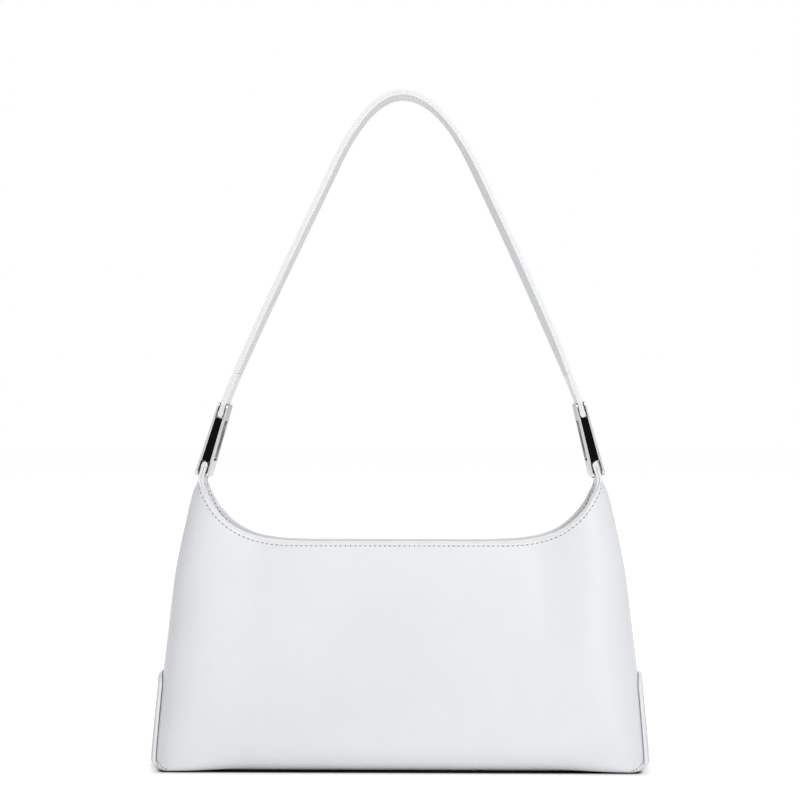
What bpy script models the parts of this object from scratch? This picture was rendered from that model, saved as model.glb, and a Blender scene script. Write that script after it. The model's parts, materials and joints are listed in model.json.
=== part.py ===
"""A small structured leather shoulder bag with a short handle on two metal links.

Metres, +Z up, +X to the right of the front view, the front panel facing -Y.
The origin is under the middle of the base, on the surface the bag stands on.
"""
import math

import bmesh
import bpy
from mathutils import Matrix, Vector

# Body, driving dimensions
BASE_WIDTH = 0.2860
BASE_DEPTH = 0.0650
RIM_HEIGHT = 0.1298
RIM_DEPTH = 0.0285
SIDE_DEPTH = 0.0490
HORN_WIDTH_SHARE = 0.8455
HORN_RISE = 0.0282
SIDE_FLARE_LOW = 0.0048
SIDE_FLARE_HIGH = 0.0081
FLARE_HEIGHT_SHARES = (0.42, 0.81)

# Shape of the plan section, from a squarer base to a rounder top
BASE_SQUARENESS_SHARE = 22.0
TOP_SQUARENESS_SHARE = 6.0
ROUND_HEIGHT = 0.110
FRONT_LEAN_SHARE = 1.1
SIDE_BLEND_SHARES = (0.60, 1.00)

# Rim curve of each panel, rising into a horn at both sides
RIM_FLAT_SHARE = 0.45
RIM_RISE = 0.0411
RIM_CURVE_SHARE = 2.75

# Rolled lower edge
ROLL_RADIUS = 0.0120
CORNER_ROLL_RADIUS = 0.0030
ROLL_BLEND_SHARES = (0.97, 0.60)

# Sheet thicknesses and clearances
PANEL_THICKNESS = 0.0016
STIFFENER_THICKNESS = 0.0008
FACING_THICKNESS = 0.0012
LINING_THICKNESS = 0.0007
STRIP_THICKNESS = 0.0020
BOARD_THICKNESS = 0.0020
POCKET_THICKNESS = 0.0007
GAP = 0.0003
FACING_HEIGHT = 0.0240
RIM_GROOVE = 0.0010

# Base strip and its tongues
TONGUE_BASE_WIDTH = 0.0420
TONGUE_TOP_WIDTH = 0.0250
TONGUE_HEIGHT = 0.0540
TONGUE_END_RADIUS = 0.0110

# Slip pocket on the back lining
POCKET_WIDTH_SHARE = 0.455
POCKET_DROP = 0.0098
POCKET_BOTTOM_SHARE = 0.27

# Magnetic snap
SNAP_DROP = 0.0130
SNAP_RADIUS = 0.0090
SOCKET_THICKNESS = 0.0030
SOCKET_BORE_RADIUS = 0.0042
SOCKET_BORE_DEPTH = 0.0018
STUD_THICKNESS = 0.0018
STUD_NUB_RADIUS = 0.0036
STUD_NUB_HEIGHT = 0.0016
WASHER_RADIUS = 0.0080
WASHER_THICKNESS = 0.0008

# Links and the rods that they hold
LINK_TILT = math.radians(15.7)
LINK_WIDTH = 0.0240
LINK_THICKNESS = 0.0082
LINK_END = 0.0063
CHEEK_THICKNESS = 0.0013
CHEEK_PAD = 0.0007
LIP_OPENING = 0.0045
LIP_HEIGHT = 0.0012
ROD_SPACING = 0.0314
ROD_RADIUS = 0.0012
ROD_INSET = 0.00785
ROD_RISE = 0.0157
CORE_SETBACK = 0.0004
WINDOW_WIDTH = 0.0150
WINDOW_LENGTH = 0.0240
POST_RADIUS = 0.0015
POST_SPACING = 0.0160
CHEEK_CORNER_RADIUS = 0.0016

# Tabs at the tops of the horns
TAB_WIDTH = 0.0220
TAB_NECK_THICKNESS = 0.0034
TAB_TAIL_LENGTH = 0.0140
TAB_TAIL_SHARE = 0.60
TAB_TAIL_REACH = 0.75
LEAN_AXIS_RISE = 0.0005

# Handle strap
HANDLE_TOP = 0.3912
STRAP_WIDTH = 0.0220
STRAP_LEATHER = 0.0010
STRAP_CORE = 0.0005
LOOP_CLEARANCE = 0.0003
LOOP_TURN_LENGTH = 0.0180
NECK_LENGTH = 0.0070
LEG_ELBOW_SHARES = (0.859, 0.224)
CROWN_START_SHARES = (0.417, 0.742)
CROWN_CORNER_SHARE = 0.2104

# Mesh fineness
WRAP_ANGLES = tuple(math.radians(angle) for angle in (0, 13, 26))
SHOULDER_ANGLES = tuple(math.radians(angle) for angle in (46, 55, 64))
FLAT_SHARES = (0.93, 0.84, 0.70, 0.50, 0.25, 0.0)
WALL_SHARES = (0.0, 0.2, 0.4, 0.6, 0.8, 1.0)
FACING_SHARES = (0.0, 0.5, 1.0)
ROLL_ANGLES = tuple(math.radians(angle) for angle in (90, 66, 44, 22))
TONGUE_SHARES = (-1.0, -0.85, -0.5, 0.0, 0.5, 0.85, 1.0)
TAB_SHARES = (-1.0, -0.7, -0.35, 0.0, 0.35, 0.7, 1.0)
LEG_STEPS = 9
CROWN_STEPS = 8
LOOP_STEPS = 12
CORNER_ANGLES = tuple(math.radians(angle) for angle in (0, 30, 60, 90))
ROUND_SEGMENTS = 20
MERGE_DISTANCE = 0.000002

# Places worked out from the sizes above
HORN_WIDTH = BASE_WIDTH * HORN_WIDTH_SHARE
POCKET_WIDTH = BASE_WIDTH * POCKET_WIDTH_SHARE
POCKET_TOP = RIM_HEIGHT - FACING_HEIGHT - POCKET_DROP
POCKET_BOTTOM = POCKET_TOP * POCKET_BOTTOM_SHARE
HORN_TOP = RIM_HEIGHT + HORN_RISE
PANEL_FLOOR = STRIP_THICKNESS + GAP
ROLL_LEVEL = PANEL_FLOOR + ROLL_RADIUS
STIFFENER_DEPTH = PANEL_THICKNESS + GAP
FACING_DEPTH = STIFFENER_DEPTH + STIFFENER_THICKNESS + GAP
BOARD_FLOOR = PANEL_FLOOR + PANEL_THICKNESS + GAP
BOARD_TOP = BOARD_FLOOR + BOARD_THICKNESS
LINING_FLOOR = BOARD_TOP + GAP
STRAP_THICKNESS = 2 * STRAP_LEATHER + STRAP_CORE + 2 * GAP
CHEEK_INNER_FACE = LINK_THICKNESS / 2 - CHEEK_THICKNESS
PAD_FACE = CHEEK_INNER_FACE - CHEEK_PAD
FRONT = -1
BACK = 1
LEFT = -1
RIGHT = 1


# Finishes

def finish(name, colour, roughness, metallic=0.0):
    """Return a plain surface finish with its own Principled shader values."""
    material = bpy.data.materials.new(name)
    material.use_nodes = True
    shader = material.node_tree.nodes["Principled BSDF"]
    shader.inputs["Base Color"].default_value = (*colour, 1.0)
    shader.inputs["Roughness"].default_value = roughness
    shader.inputs["Metallic"].default_value = metallic
    material.diffuse_color = (*colour, 1.0)
    return material


def make_finishes():
    """Return every finish of the bag by name."""
    return {
        "leather": finish("white_leather", (0.82, 0.83, 0.85), 0.38),
        "facing": finish("facing_leather", (0.80, 0.81, 0.83), 0.45),
        "lining": finish("lining_twill", (0.62, 0.60, 0.57), 0.90),
        "board": finish("grey_board", (0.45, 0.43, 0.40), 0.85),
        "chrome": finish("polished_metal", (0.80, 0.80, 0.81), 0.08, 1.0),
        "black": finish("black_enamel", (0.010, 0.010, 0.011), 0.20),
        "steel": finish("plain_steel", (0.55, 0.55, 0.56), 0.35, 1.0),
    }


# Outer surface of the body

def smooth_step(value):
    """Return an S-shaped share between 0 and 1."""
    held = min(max(value, 0.0), 1.0)
    return held * held * (3 - 2 * held)


def blend(low, high, share):
    """Return the value a share of the way from low to high."""
    return low + (high - low) * share


def bezier(points, share):
    """Return the point at a share along a curve with any number of control points."""
    row = [Vector(point) for point in points]
    while len(row) > 1:
        row = [a.lerp(b, share) for a, b in zip(row, row[1:])]
    return row[0]


def half_width(height):
    """Return half the body's width at a height, from the side's curved outline."""
    low_share, high_share = FLARE_HEIGHT_SHARES
    outline = (
        (BASE_WIDTH / 2, 0),
        (BASE_WIDTH / 2 - SIDE_FLARE_LOW, HORN_TOP * low_share),
        (HORN_WIDTH / 2 + SIDE_FLARE_HIGH, HORN_TOP * high_share),
        (HORN_WIDTH / 2, HORN_TOP),
    )
    low, high = 0.0, 1.0
    for _ in range(30):
        middle = (low + high) / 2
        if bezier(outline, middle).y < height:
            low = middle
        else:
            high = middle
    return bezier(outline, (low + high) / 2).x


def squareness(height):
    """Return the section's power: high for square corners, low for round sides."""
    share = max(0.0, 1.0 - height / ROUND_HEIGHT) ** 2
    return blend(TOP_SQUARENESS_SHARE, BASE_SQUARENESS_SHARE, share)


def half_depth(share, height):
    """Return half the section's full depth, larger at the sides than at the middle."""
    rise = max(0.0, height - ROLL_LEVEL)
    lean = (rise / (RIM_HEIGHT - ROLL_LEVEL)) ** FRONT_LEAN_SHARE
    middle = blend(BASE_DEPTH / 2, RIM_DEPTH / 2, lean)
    side = blend(BASE_DEPTH / 2, SIDE_DEPTH / 2, rise / (HORN_TOP - ROLL_LEVEL))
    start, end = SIDE_BLEND_SHARES
    return blend(middle, side, smooth_step((share - start) / (end - start)))


def roll_radius(share):
    """Return the radius of the rolled lower edge, small near the sides."""
    start, end = ROLL_BLEND_SHARES
    return blend(CORNER_ROLL_RADIUS, ROLL_RADIUS, smooth_step((share - start) / (end - start)))


def wrap_column(side, angle):
    """Return a column on the rounded side, at an angle from the side's centre line."""
    return (side, angle, None)


def flat_column(side, share):
    """Return a column on the flat middle, at a share of the last shoulder's place."""
    return (side, SHOULDER_ANGLES[-1], share)


def across(column, height):
    """Return a column's share of the half width and the sine of its wrap."""
    _, angle, flat_share = column
    power = squareness(height)
    share = math.cos(angle) ** (2 / power)
    if flat_share is None:
        return share, math.sin(angle)
    share *= flat_share
    return share, math.sqrt(1 - share ** power)


def section_normal(column, face, height):
    """Return the level outward direction of the outer surface."""
    share, sine = across(column, height)
    power = squareness(height)
    depth = half_depth(share, height)
    step = 1 / 1024
    slope = (half_depth(share + step, height) - half_depth(share - step, height)) / (2 * step)
    outward_x = (depth * power * share ** (power - 1) / 2 - slope * sine * sine) / half_width(height)
    return Vector((column[0] * outward_x, face * sine, 0)).normalized()


def surface_point(column, face, height):
    """Return the point of the outer surface at a column and a height."""
    share, sine = across(column, height)
    x = column[0] * share * half_width(height)
    return Vector((x, face * half_depth(share, height) * sine, height))


def column_roll(column):
    """Return a column's roll radius and the height where the roll meets the wall."""
    radius = roll_radius(across(column, 0)[0])
    return radius, PANEL_FLOOR + radius


def roll_point(column, face, angle, depth):
    """Return a point on the rolled edge, at an angle below level and a depth inward."""
    radius, level = column_roll(column)
    normal = section_normal(column, face, level)
    centre = surface_point(column, face, level) - normal * radius
    reach = radius - depth
    return centre + normal * (reach * math.cos(angle)) - Vector((0, 0, reach * math.sin(angle)))


def shell_point(column, face, height, depth):
    """Return the point at a height on the layer that lies a depth inside the leather."""
    radius, level = column_roll(column)
    if height < level and radius > depth:
        sine = min(1.0, (level - height) / (radius - depth))
        point = roll_point(column, face, math.asin(sine), depth)
        return Vector((point.x, point.y, height))
    return surface_point(column, face, height) - section_normal(column, face, height) * depth


def rim_cut_angle():
    """Return the wrap angle where the rim curve reaches the horn's level top."""
    climb = (HORN_RISE / RIM_RISE) ** (1 / RIM_CURVE_SHARE)
    share = blend(RIM_FLAT_SHARE, 1.0, climb)
    return math.acos(share ** (TOP_SQUARENESS_SHARE / 2))


def top_height(column):
    """Return the height of the panel's upper edge at a column."""
    share = across(column, HORN_TOP)[0]
    climb = max(0.0, (share - RIM_FLAT_SHARE) / (1 - RIM_FLAT_SHARE)) ** RIM_CURVE_SHARE
    return min(HORN_TOP, RIM_HEIGHT + RIM_RISE * climb)


def half_columns(side, first_angle):
    """Return the columns of one side, from its centre line to the middle of the panel."""
    angles = (first_angle,) + WRAP_ANGLES[1:] + (rim_cut_angle(),) + SHOULDER_ANGLES
    wrapped = [wrap_column(side, angle) for angle in angles]
    return wrapped + [flat_column(side, share) for share in FLAT_SHARES]


def panel_columns():
    """Return the columns of one panel, from its left seam to its right seam."""
    seam_angle = math.asin(GAP / SIDE_DEPTH)
    left = half_columns(LEFT, seam_angle)
    right = half_columns(RIGHT, seam_angle)
    return left + right[-2::-1]


def height_for_depth(column_side, height, offset):
    """Return the column of one side whose surface lies an offset from the middle plane."""
    low, high = 0.0, SHOULDER_ANGLES[-1]
    for _ in range(30):
        middle = (low + high) / 2
        if abs(surface_point(wrap_column(column_side, middle), BACK, height).y) < abs(offset):
            low = middle
        else:
            high = middle
    return wrap_column(column_side, (low + high) / 2)


# Making objects

def add_object(name, mesh, material):
    """Link a new object with one finish into the scene."""
    mesh.materials.append(material)
    thing = bpy.data.objects.new(name, mesh)
    bpy.context.scene.collection.objects.link(thing)
    return thing


def mesh_from(name, points, faces):
    """Return a closed mesh with merged points and faces that point outwards."""
    mesh = bpy.data.meshes.new(name)
    mesh.from_pydata([tuple(point) for point in points], [], faces)
    work = bmesh.new()
    work.from_mesh(mesh)
    bmesh.ops.remove_doubles(work, verts=work.verts, dist=MERGE_DISTANCE)
    bmesh.ops.dissolve_degenerate(work, dist=MERGE_DISTANCE, edges=work.edges)
    bmesh.ops.recalc_face_normals(work, faces=work.faces)
    work.to_mesh(mesh)
    work.free()
    return mesh


def hidden(thing):
    """Hide an object that others are only cut or joined with."""
    thing.hide_render = True
    thing.display_type = "WIRE"
    return thing


def combine(thing, other, operation):
    """Cut or join an object with another through a Boolean modifier."""
    modifier = thing.modifiers.new(other.name, "BOOLEAN")
    modifier.operation = operation
    modifier.object = other
    modifier.solver = "EXACT"


def shade_round(thing):
    """Shade an object smooth, with its hard edges kept sharp."""
    thing.data.shade_smooth()
    thing.data.set_sharp_from_angle(angle=math.radians(35))
    return thing


def split_quad(points, quad):
    """Return two triangles, cut from the low outer corner to the high middle one."""
    a, b, c, d = quad
    widening = abs(points[a].x) - abs(points[b].x)
    climb = points[d].z - points[a].z
    if widening * climb > 0:
        return [[a, b, c], [a, c, d]]
    return [[a, b, d], [b, c, d]]


def sheet_solid(name, outer, inner, material):
    """Return a solid between two grids of rows, closed along its four edges."""
    rows = len(outer)
    columns = len(outer[0])
    points = [point for grid in (outer, inner) for row in grid for point in row]
    shift = rows * columns
    faces = []
    for row in range(rows - 1):
        for column in range(columns - 1):
            start = row * columns + column
            for grid_start in (start, start + shift):
                quad = (grid_start, grid_start + 1, grid_start + columns + 1, grid_start + columns)
                faces += split_quad(points, quad)
    edge = [(0, number) for number in range(columns)]
    edge += [(number, columns - 1) for number in range(1, rows)]
    edge += [(rows - 1, number) for number in range(columns - 2, -1, -1)]
    edge += [(number, 0) for number in range(rows - 2, 0, -1)]
    border = [row * columns + column for row, column in edge]
    for a, b in zip(border, border[1:] + border[:1]):
        faces.append([a, b, b + shift, a + shift])
    return shade_round(add_object(name, mesh_from(name, points, faces), material))


def ring_solid(name, rings, material, curved=False):
    """Return a solid skinned over equal rings of points, with both ends closed."""
    count = len(rings[0])
    points = [point for ring in rings for point in ring]
    faces = [list(range(count)), [len(points) - count + number for number in range(count)]]
    for level in range(len(rings) - 1):
        start = level * count
        for number in range(count):
            after = (number + 1) % count
            quad = (start + number, start + after, start + count + after, start + count + number)
            faces += split_quad(points, quad) if curved else [quad]
    return shade_round(add_object(name, mesh_from(name, points, faces), material))


def turned_solid(name, profile, place, material):
    """Return a solid turned round an axis from (radius, height) points."""
    turns = [2 * math.pi * number / ROUND_SEGMENTS for number in range(ROUND_SEGMENTS)]
    rings = [
        [place @ Vector((radius * math.cos(turn), radius * math.sin(turn), height)) for turn in turns]
        for radius, height in profile
    ]
    return ring_solid(name, rings, material)


def extruded_solid(name, outline, width, place, material):
    """Return a flat outline of (x, z) points extruded to a width along Y."""
    rings = [
        [place @ Vector((x, end * width / 2, z)) for x, z in outline]
        for end in (FRONT, BACK)
    ]
    return ring_solid(name, rings, material)


def hang_from(thing, axis):
    """Parent an object to an axis so that the axis is its own origin."""
    thing.data.transform(Matrix.Translation(-axis.matrix_world.translation))
    thing.parent = axis
    return thing


def axis_empty(name, place, parent=None):
    """Return an empty that marks a moving body's joint axis."""
    empty = bpy.data.objects.new(name, None)
    bpy.context.scene.collection.objects.link(empty)
    empty.parent = parent
    empty.location = place if parent is None else place - parent.matrix_world.translation
    bpy.context.view_layer.update()
    return empty


# Leather and lining of the body

def wall_heights(column):
    """Return the heights of a column's rows, from the roll up to the facing's edge."""
    low = column_roll(column)[1]
    high = top_height(column) - FACING_HEIGHT
    return [blend(low, high, share) for share in WALL_SHARES]


def facing_heights(column):
    """Return the heights of a column's rows, from the facing's edge up to the rim."""
    low = top_height(column) - FACING_HEIGHT
    return [low + FACING_HEIGHT * share for share in FACING_SHARES]


def shell_rows(columns, face, heights, depth):
    """Return the rows of points of one layer, from each column's list of heights."""
    return [
        [shell_point(c, face, z, depth) for c, z in zip(columns, row)]
        for row in zip(*heights)
    ]


def make_panel(name, face, material):
    """Return a panel that wraps both sides and rolls under the base."""
    columns = panel_columns()
    heights = [wall_heights(c) + facing_heights(c)[1:] for c in columns]
    grids = []
    for depth in (0, PANEL_THICKNESS):
        grid = []
        middle = []
        for column in columns:
            edge = roll_point(column, face, ROLL_ANGLES[0], depth)
            middle.append(Vector((edge.x, face * GAP / 2, edge.z)))
        grid.append(middle)
        for angle in ROLL_ANGLES:
            grid.append([roll_point(column, face, angle, depth) for column in columns])
        grid += shell_rows(columns, face, heights, depth)
        grids.append(keep_from_seam(grid, face))
    return sheet_solid(name, grids[0], grids[1], material)


def keep_from_seam(grid, face):
    """Keep every point on its own side of the side seams and the base seam."""
    for row in grid:
        for point in row:
            if point.y * face < GAP / 2:
                point.y = face * GAP / 2
    return grid


def stiffener_heights(column):
    """Return the heights of a column's rows, stopping under the tab's tail at a horn."""
    heights = wall_heights(column)
    upper = facing_heights(column)
    if column[1] < rim_cut_angle() * TAB_TAIL_REACH and column[2] is None:
        limit = HORN_TOP - TAB_TAIL_LENGTH - GAP
        return heights + [blend(heights[-1], limit, share) for share in (0.5, 1.0)]
    return heights + [upper[1], upper[2] - RIM_GROOVE]


def make_stiffener(name, face, material):
    """Return the stiffener behind one panel, with a pocket for the snap's washer."""
    columns = panel_columns()
    heights = [stiffener_heights(c) for c in columns]
    grids = []
    for depth in (STIFFENER_DEPTH, STIFFENER_DEPTH + STIFFENER_THICKNESS):
        grids.append(keep_from_seam(shell_rows(columns, face, heights, depth), face))
    stiffener = sheet_solid(name, grids[0], grids[1], material)
    reach = PANEL_THICKNESS
    profile = ((WASHER_RADIUS + GAP, -reach), (WASHER_RADIUS + GAP, WASHER_THICKNESS + reach))
    place = snap_place(face, STIFFENER_DEPTH)
    combine(stiffener, hidden(turned_solid(f"{name}_pocket", profile, place, material)), "DIFFERENCE")
    return stiffener


def make_facing(name, face, material):
    """Return the inner leather layer along one rim."""
    columns = panel_columns()
    heights = [facing_heights(c) for c in columns]
    grids = []
    for depth in (FACING_DEPTH, FACING_DEPTH + FACING_THICKNESS):
        grids.append(keep_from_seam(shell_rows(columns, face, heights, depth), face))
    return sheet_solid(name, grids[0], grids[1], material)


def loop_columns():
    """Return the columns right round the body, as (column, face) pairs."""
    front = [(c, FRONT) for c in half_columns(LEFT, 0) + half_columns(RIGHT, 0)[-2::-1]]
    back = [(c, BACK) for c in half_columns(RIGHT, 0)[1:] + half_columns(LEFT, 0)[-2:0:-1]]
    return front + back


def lining_heights(column, floor):
    """Return the heights of a column's rows, from the lining's floor up to its edge."""
    walls = wall_heights(column)
    turn = [blend(floor, max(floor, walls[0]), share) for share in (0.0, 0.4)]
    return turn + [max(floor, z) for z in walls[:-1]] + [walls[-1] - GAP]


def make_lining(material):
    """Return the open-topped lining bag as one solid with its floor."""
    pairs = loop_columns()
    outer_depth = FACING_DEPTH
    inner_depth = FACING_DEPTH + LINING_THICKNESS
    inner_floor = LINING_FLOOR + LINING_THICKNESS
    rings = []
    for depth, floor in ((outer_depth, LINING_FLOOR), (inner_depth, inner_floor)):
        heights = [lining_heights(c, floor) for c, _ in pairs]
        rows = [
            [shell_point(c, face, z, depth) for (c, face), z in zip(pairs, row)]
            for row in zip(*heights)
        ]
        rings.append(rows)
    outer, inner = rings
    return ring_solid("lining_bag", outer + inner[::-1], material, curved=True)


def board_outline(height, depth):
    """Return the points right round the body at a height and depth."""
    return [shell_point(c, face, height, depth) for c, face in loop_columns()]


def make_base_board(material):
    """Return the board that lies on the turned-in panel edges."""
    rings = [
        board_outline(blend(BOARD_FLOOR, BOARD_TOP, share), FACING_DEPTH)
        for share in (0.0, 0.5, 1.0)
    ]
    return ring_solid("base_board", rings, material, curved=True)


def tongue_half_width(height):
    """Return half the tongue's width at a height, with a round end at the top."""
    shoulder = TONGUE_HEIGHT - TONGUE_END_RADIUS
    width = blend(TONGUE_BASE_WIDTH, TONGUE_TOP_WIDTH, min(1.0, height / shoulder))
    rise = max(0.0, height - shoulder) / TONGUE_END_RADIUS
    return width / 2 * math.sqrt(max(0.0, 1 - rise * rise))


def tongue_rows(side, depth):
    """Return one tongue's rows from its round end down and under the base."""
    end_shares = (0.97, 0.85, 0.60, 0.30, 0.0)
    shoulder = TONGUE_HEIGHT - TONGUE_END_RADIUS
    level = PANEL_FLOOR + CORNER_ROLL_RADIUS
    heights = [shoulder + TONGUE_END_RADIUS * share for share in end_shares]
    heights += [blend(shoulder, level, share) for share in (0.33, 0.66)]
    rows = []
    for height in heights:
        half = tongue_half_width(height)
        row = []
        for share in TONGUE_SHARES:
            column = height_for_depth(side, height, half * share)
            row.append(shell_point(column, BACK if share > 0 else FRONT, height, depth))
        rows.append(row)
    for angle in reversed(ROLL_ANGLES + (0,)):
        row = []
        for share in TONGUE_SHARES:
            column = height_for_depth(side, level, TONGUE_BASE_WIDTH / 2 * share)
            row.append(roll_point(column, BACK if share > 0 else FRONT, angle, depth))
        rows.append(row)
    return rows


def make_base_strip(material):
    """Return the strip under the base with a tongue up each side."""
    grids = []
    for depth in (-GAP - STRIP_THICKNESS, -GAP):
        left = tongue_rows(LEFT, depth)
        right = tongue_rows(RIGHT, depth)
        grids.append(left + right[::-1])
    return sheet_solid("base_strip", grids[0], grids[1], material)


def make_pocket(material):
    """Return the flat slip pocket on the back lining."""
    shares = (-1.0, -0.6, -0.2, 0.2, 0.6, 1.0)
    base_depth = FACING_DEPTH + LINING_THICKNESS + GAP
    edge_share = SHOULDER_ANGLES[-1]
    grids = []
    for depth in (base_depth + POCKET_THICKNESS, base_depth):
        grid = []
        for level in (0.0, 0.33, 0.66, 1.0):
            height = blend(POCKET_BOTTOM, POCKET_TOP, level)
            row = []
            for share in shares:
                side = LEFT if share < 0 else RIGHT
                edge = surface_point(wrap_column(side, edge_share), BACK, height).x
                flat_share = abs(share) * POCKET_WIDTH / 2 / abs(edge)
                row.append(shell_point(flat_column(side, flat_share), BACK, height, depth))
            grid.append(row)
        grids.append(grid)
    return sheet_solid("slip_pocket", grids[0], grids[1], material)


# Magnetic snap

def snap_place(face, depth):
    """Return the frame at a depth behind the middle of a rim, its Z axis pointing inwards."""
    column = flat_column(RIGHT, 0.0)
    height = RIM_HEIGHT - SNAP_DROP
    high = shell_point(column, face, height + SNAP_RADIUS, depth)
    low = shell_point(column, face, height - SNAP_RADIUS, depth)
    up = (high - low).normalized()
    side = Vector((1, 0, 0))
    inward = side.cross(up) * face
    inward.normalize()
    across_axis = up.cross(inward)
    frame = Matrix((across_axis, up, inward)).transposed().to_4x4()
    return Matrix.Translation((high + low) / 2) @ frame


def make_snap(chrome, steel):
    """Return both snap halves and the washers behind the facings."""
    inner_side = FACING_DEPTH + FACING_THICKNESS + GAP
    socket = (
        (SNAP_RADIUS, 0),
        (SNAP_RADIUS, SOCKET_THICKNESS),
        (SOCKET_BORE_RADIUS, SOCKET_THICKNESS),
        (SOCKET_BORE_RADIUS, SOCKET_THICKNESS - SOCKET_BORE_DEPTH),
    )
    stud = (
        (SNAP_RADIUS, 0),
        (SNAP_RADIUS, STUD_THICKNESS),
        (STUD_NUB_RADIUS, STUD_THICKNESS),
        (STUD_NUB_RADIUS, STUD_THICKNESS + STUD_NUB_HEIGHT),
    )
    washer = ((WASHER_RADIUS, 0), (WASHER_RADIUS, WASHER_THICKNESS))
    turned_solid("snap_socket", socket, snap_place(FRONT, inner_side), chrome)
    turned_solid("snap_stud", stud, snap_place(BACK, inner_side), chrome)
    for name, face in (("front_washer", FRONT), ("back_washer", BACK)):
        place = snap_place(face, STIFFENER_DEPTH)
        turned_solid(name, washer, place, steel)


# Links

def lower_rod_centre(side):
    """Return the centre of the rod in a tab's loop."""
    x = half_width(HORN_TOP) - ROD_INSET
    return Vector((side * x, 0, HORN_TOP + ROD_RISE))


def link_frame(side):
    """Return a link's frame: origin at the lower rod, X to the right, Z along the link."""
    along = Vector((-side * math.sin(LINK_TILT), 0, math.cos(LINK_TILT)))
    depth = Vector((0, 1, 0))
    rightward = depth.cross(along)
    frame = Matrix((rightward, depth, along)).transposed().to_4x4()
    return Matrix.Translation(lower_rod_centre(side)) @ frame


def upper_rod_centre(side):
    """Return the centre of the rod in the strap's loop."""
    return link_frame(side) @ Vector((0, 0, ROD_SPACING))


def core_reach():
    """Return half the core's length, just clear of the leather loops."""
    return ROD_SPACING / 2 - loop_outer_radius() - LOOP_CLEARANCE


def cheek_outline(toward, inset):
    """Return a cheek's (x, z) outline on one side of the link, its ends set in at a corner."""
    outer = LINK_THICKNESS / 2
    inner = CHEEK_INNER_FACE
    lip = LIP_OPENING / 2
    curl = LIP_HEIGHT / 2
    low = -LINK_END + inset
    high = ROD_SPACING + LINK_END - inset
    pad = ROD_SPACING / 2 - core_reach()
    half = (
        (outer - curl, low),
        (lip + curl / 2, low),
        (lip, low + curl),
        (lip + curl / 2, low + LIP_HEIGHT),
        (inner, low + LIP_HEIGHT + curl),
        (inner, pad - CHEEK_PAD / 2),
        (PAD_FACE, pad + CHEEK_PAD / 2),
    )
    mirrored = [(x, high + low - z) for x, z in reversed(half)]
    points = [(outer, low + curl)] + list(half) + mirrored + [(outer, high - curl)]
    return [(toward * x, z) for x, z in points]


def cutter_box(name, size, place, parent):
    """Return a hidden box that another object is cut with."""
    mesh = bpy.data.meshes.new(name)
    work = bmesh.new()
    bmesh.ops.create_cube(work, size=1.0)
    work.transform(place @ Matrix.Diagonal((*size, 1.0)))
    work.to_mesh(mesh)
    work.free()
    box = bpy.data.objects.new(name, mesh)
    bpy.context.scene.collection.objects.link(box)
    return hang_from(hidden(box), parent)


def make_cheek(name, side, toward, axis, chrome):
    """Return one cheek plate with lips at both ends and round corners."""
    frame = link_frame(side)
    rings = []
    for way, angles in ((FRONT, CORNER_ANGLES), (BACK, CORNER_ANGLES[::-1])):
        for angle in angles:
            inset = CHEEK_CORNER_RADIUS * (1 - math.sin(angle))
            y = way * (LINK_WIDTH / 2 - CHEEK_CORNER_RADIUS * (1 - math.cos(angle)))
            rings.append([frame @ Vector((x, y, z)) for x, z in cheek_outline(toward, inset)])
    return hang_from(ring_solid(name, rings, chrome), axis)


def cross_bar(name, radius, span, along, side, axis, chrome):
    """Return a hidden round bar across a link, used to cut or join."""
    turn = Matrix.Rotation(math.radians(90), 4, "Y")
    place = link_frame(side) @ Matrix.Translation((span[0], 0, along)) @ turn
    length = span[1] - span[0]
    post = turned_solid(name, ((radius, 0), (radius, length)), place, chrome)
    return hang_from(hidden(post), axis)


def make_link(side, word, axis, finishes):
    """Return the solids of one link: two cheeks and the core between them."""
    chrome = finishes["chrome"]
    outer = make_cheek(f"outer_cheek_{word}", side, side, axis, chrome)
    inner = make_cheek(f"inner_cheek_{word}", side, -side, axis, chrome)
    centre = ROD_SPACING / 2
    frame = link_frame(side)
    window_place = frame @ Matrix.Translation((-side * LINK_THICKNESS / 2, 0, centre))
    window = cutter_box(
        f"window_cutter_{word}", (LINK_THICKNESS, WINDOW_WIDTH, WINDOW_LENGTH), window_place, axis
    )
    combine(inner, window, "DIFFERENCE")
    core_half = PAD_FACE - GAP
    reach = core_reach()
    outline = [
        (-core_half, centre - reach),
        (core_half, centre - reach),
        (core_half, centre + reach),
        (-core_half, centre + reach),
    ]
    core_width = LINK_WIDTH - 2 * CORE_SETBACK
    core = extruded_solid(f"link_core_{word}", outline, core_width, frame, finishes["black"])
    hang_from(core, axis)
    for number, way in ((1, LEFT), (2, RIGHT)):
        along = centre + way * POST_SPACING / 2
        start = side * (CHEEK_INNER_FACE + CHEEK_THICKNESS / 2)
        end = -side * core_half
        span = (min(start, end), max(start, end))
        post = cross_bar(f"post_{word}_{number}", POST_RADIUS, span, along, side, axis, chrome)
        combine(outer, post, "UNION")
        through = (-LINK_THICKNESS, LINK_THICKNESS)
        bore = cross_bar(f"bore_{word}_{number}", POST_RADIUS + GAP, through, along, side, axis, chrome)
        combine(core, bore, "DIFFERENCE")


def make_rod(name, centre, width, axis, steel):
    """Return a rod along Y held in a leather loop."""
    turn = Matrix.Rotation(math.radians(90), 4, "X")
    place = Matrix.Translation(centre + Vector((0, width / 2, 0))) @ turn
    rod = turned_solid(name, ((ROD_RADIUS, 0), (ROD_RADIUS, width)), place, steel)
    return hang_from(rod, axis)


# Tabs

def loop_outer_radius():
    """Return the outer radius of a leather loop round its rod."""
    return ROD_RADIUS + LOOP_CLEARANCE + STRAP_LEATHER


def tab_ring(outer, inner):
    """Return one closed ring from the points of a tab's two faces."""
    return outer + inner[::-1]


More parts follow.
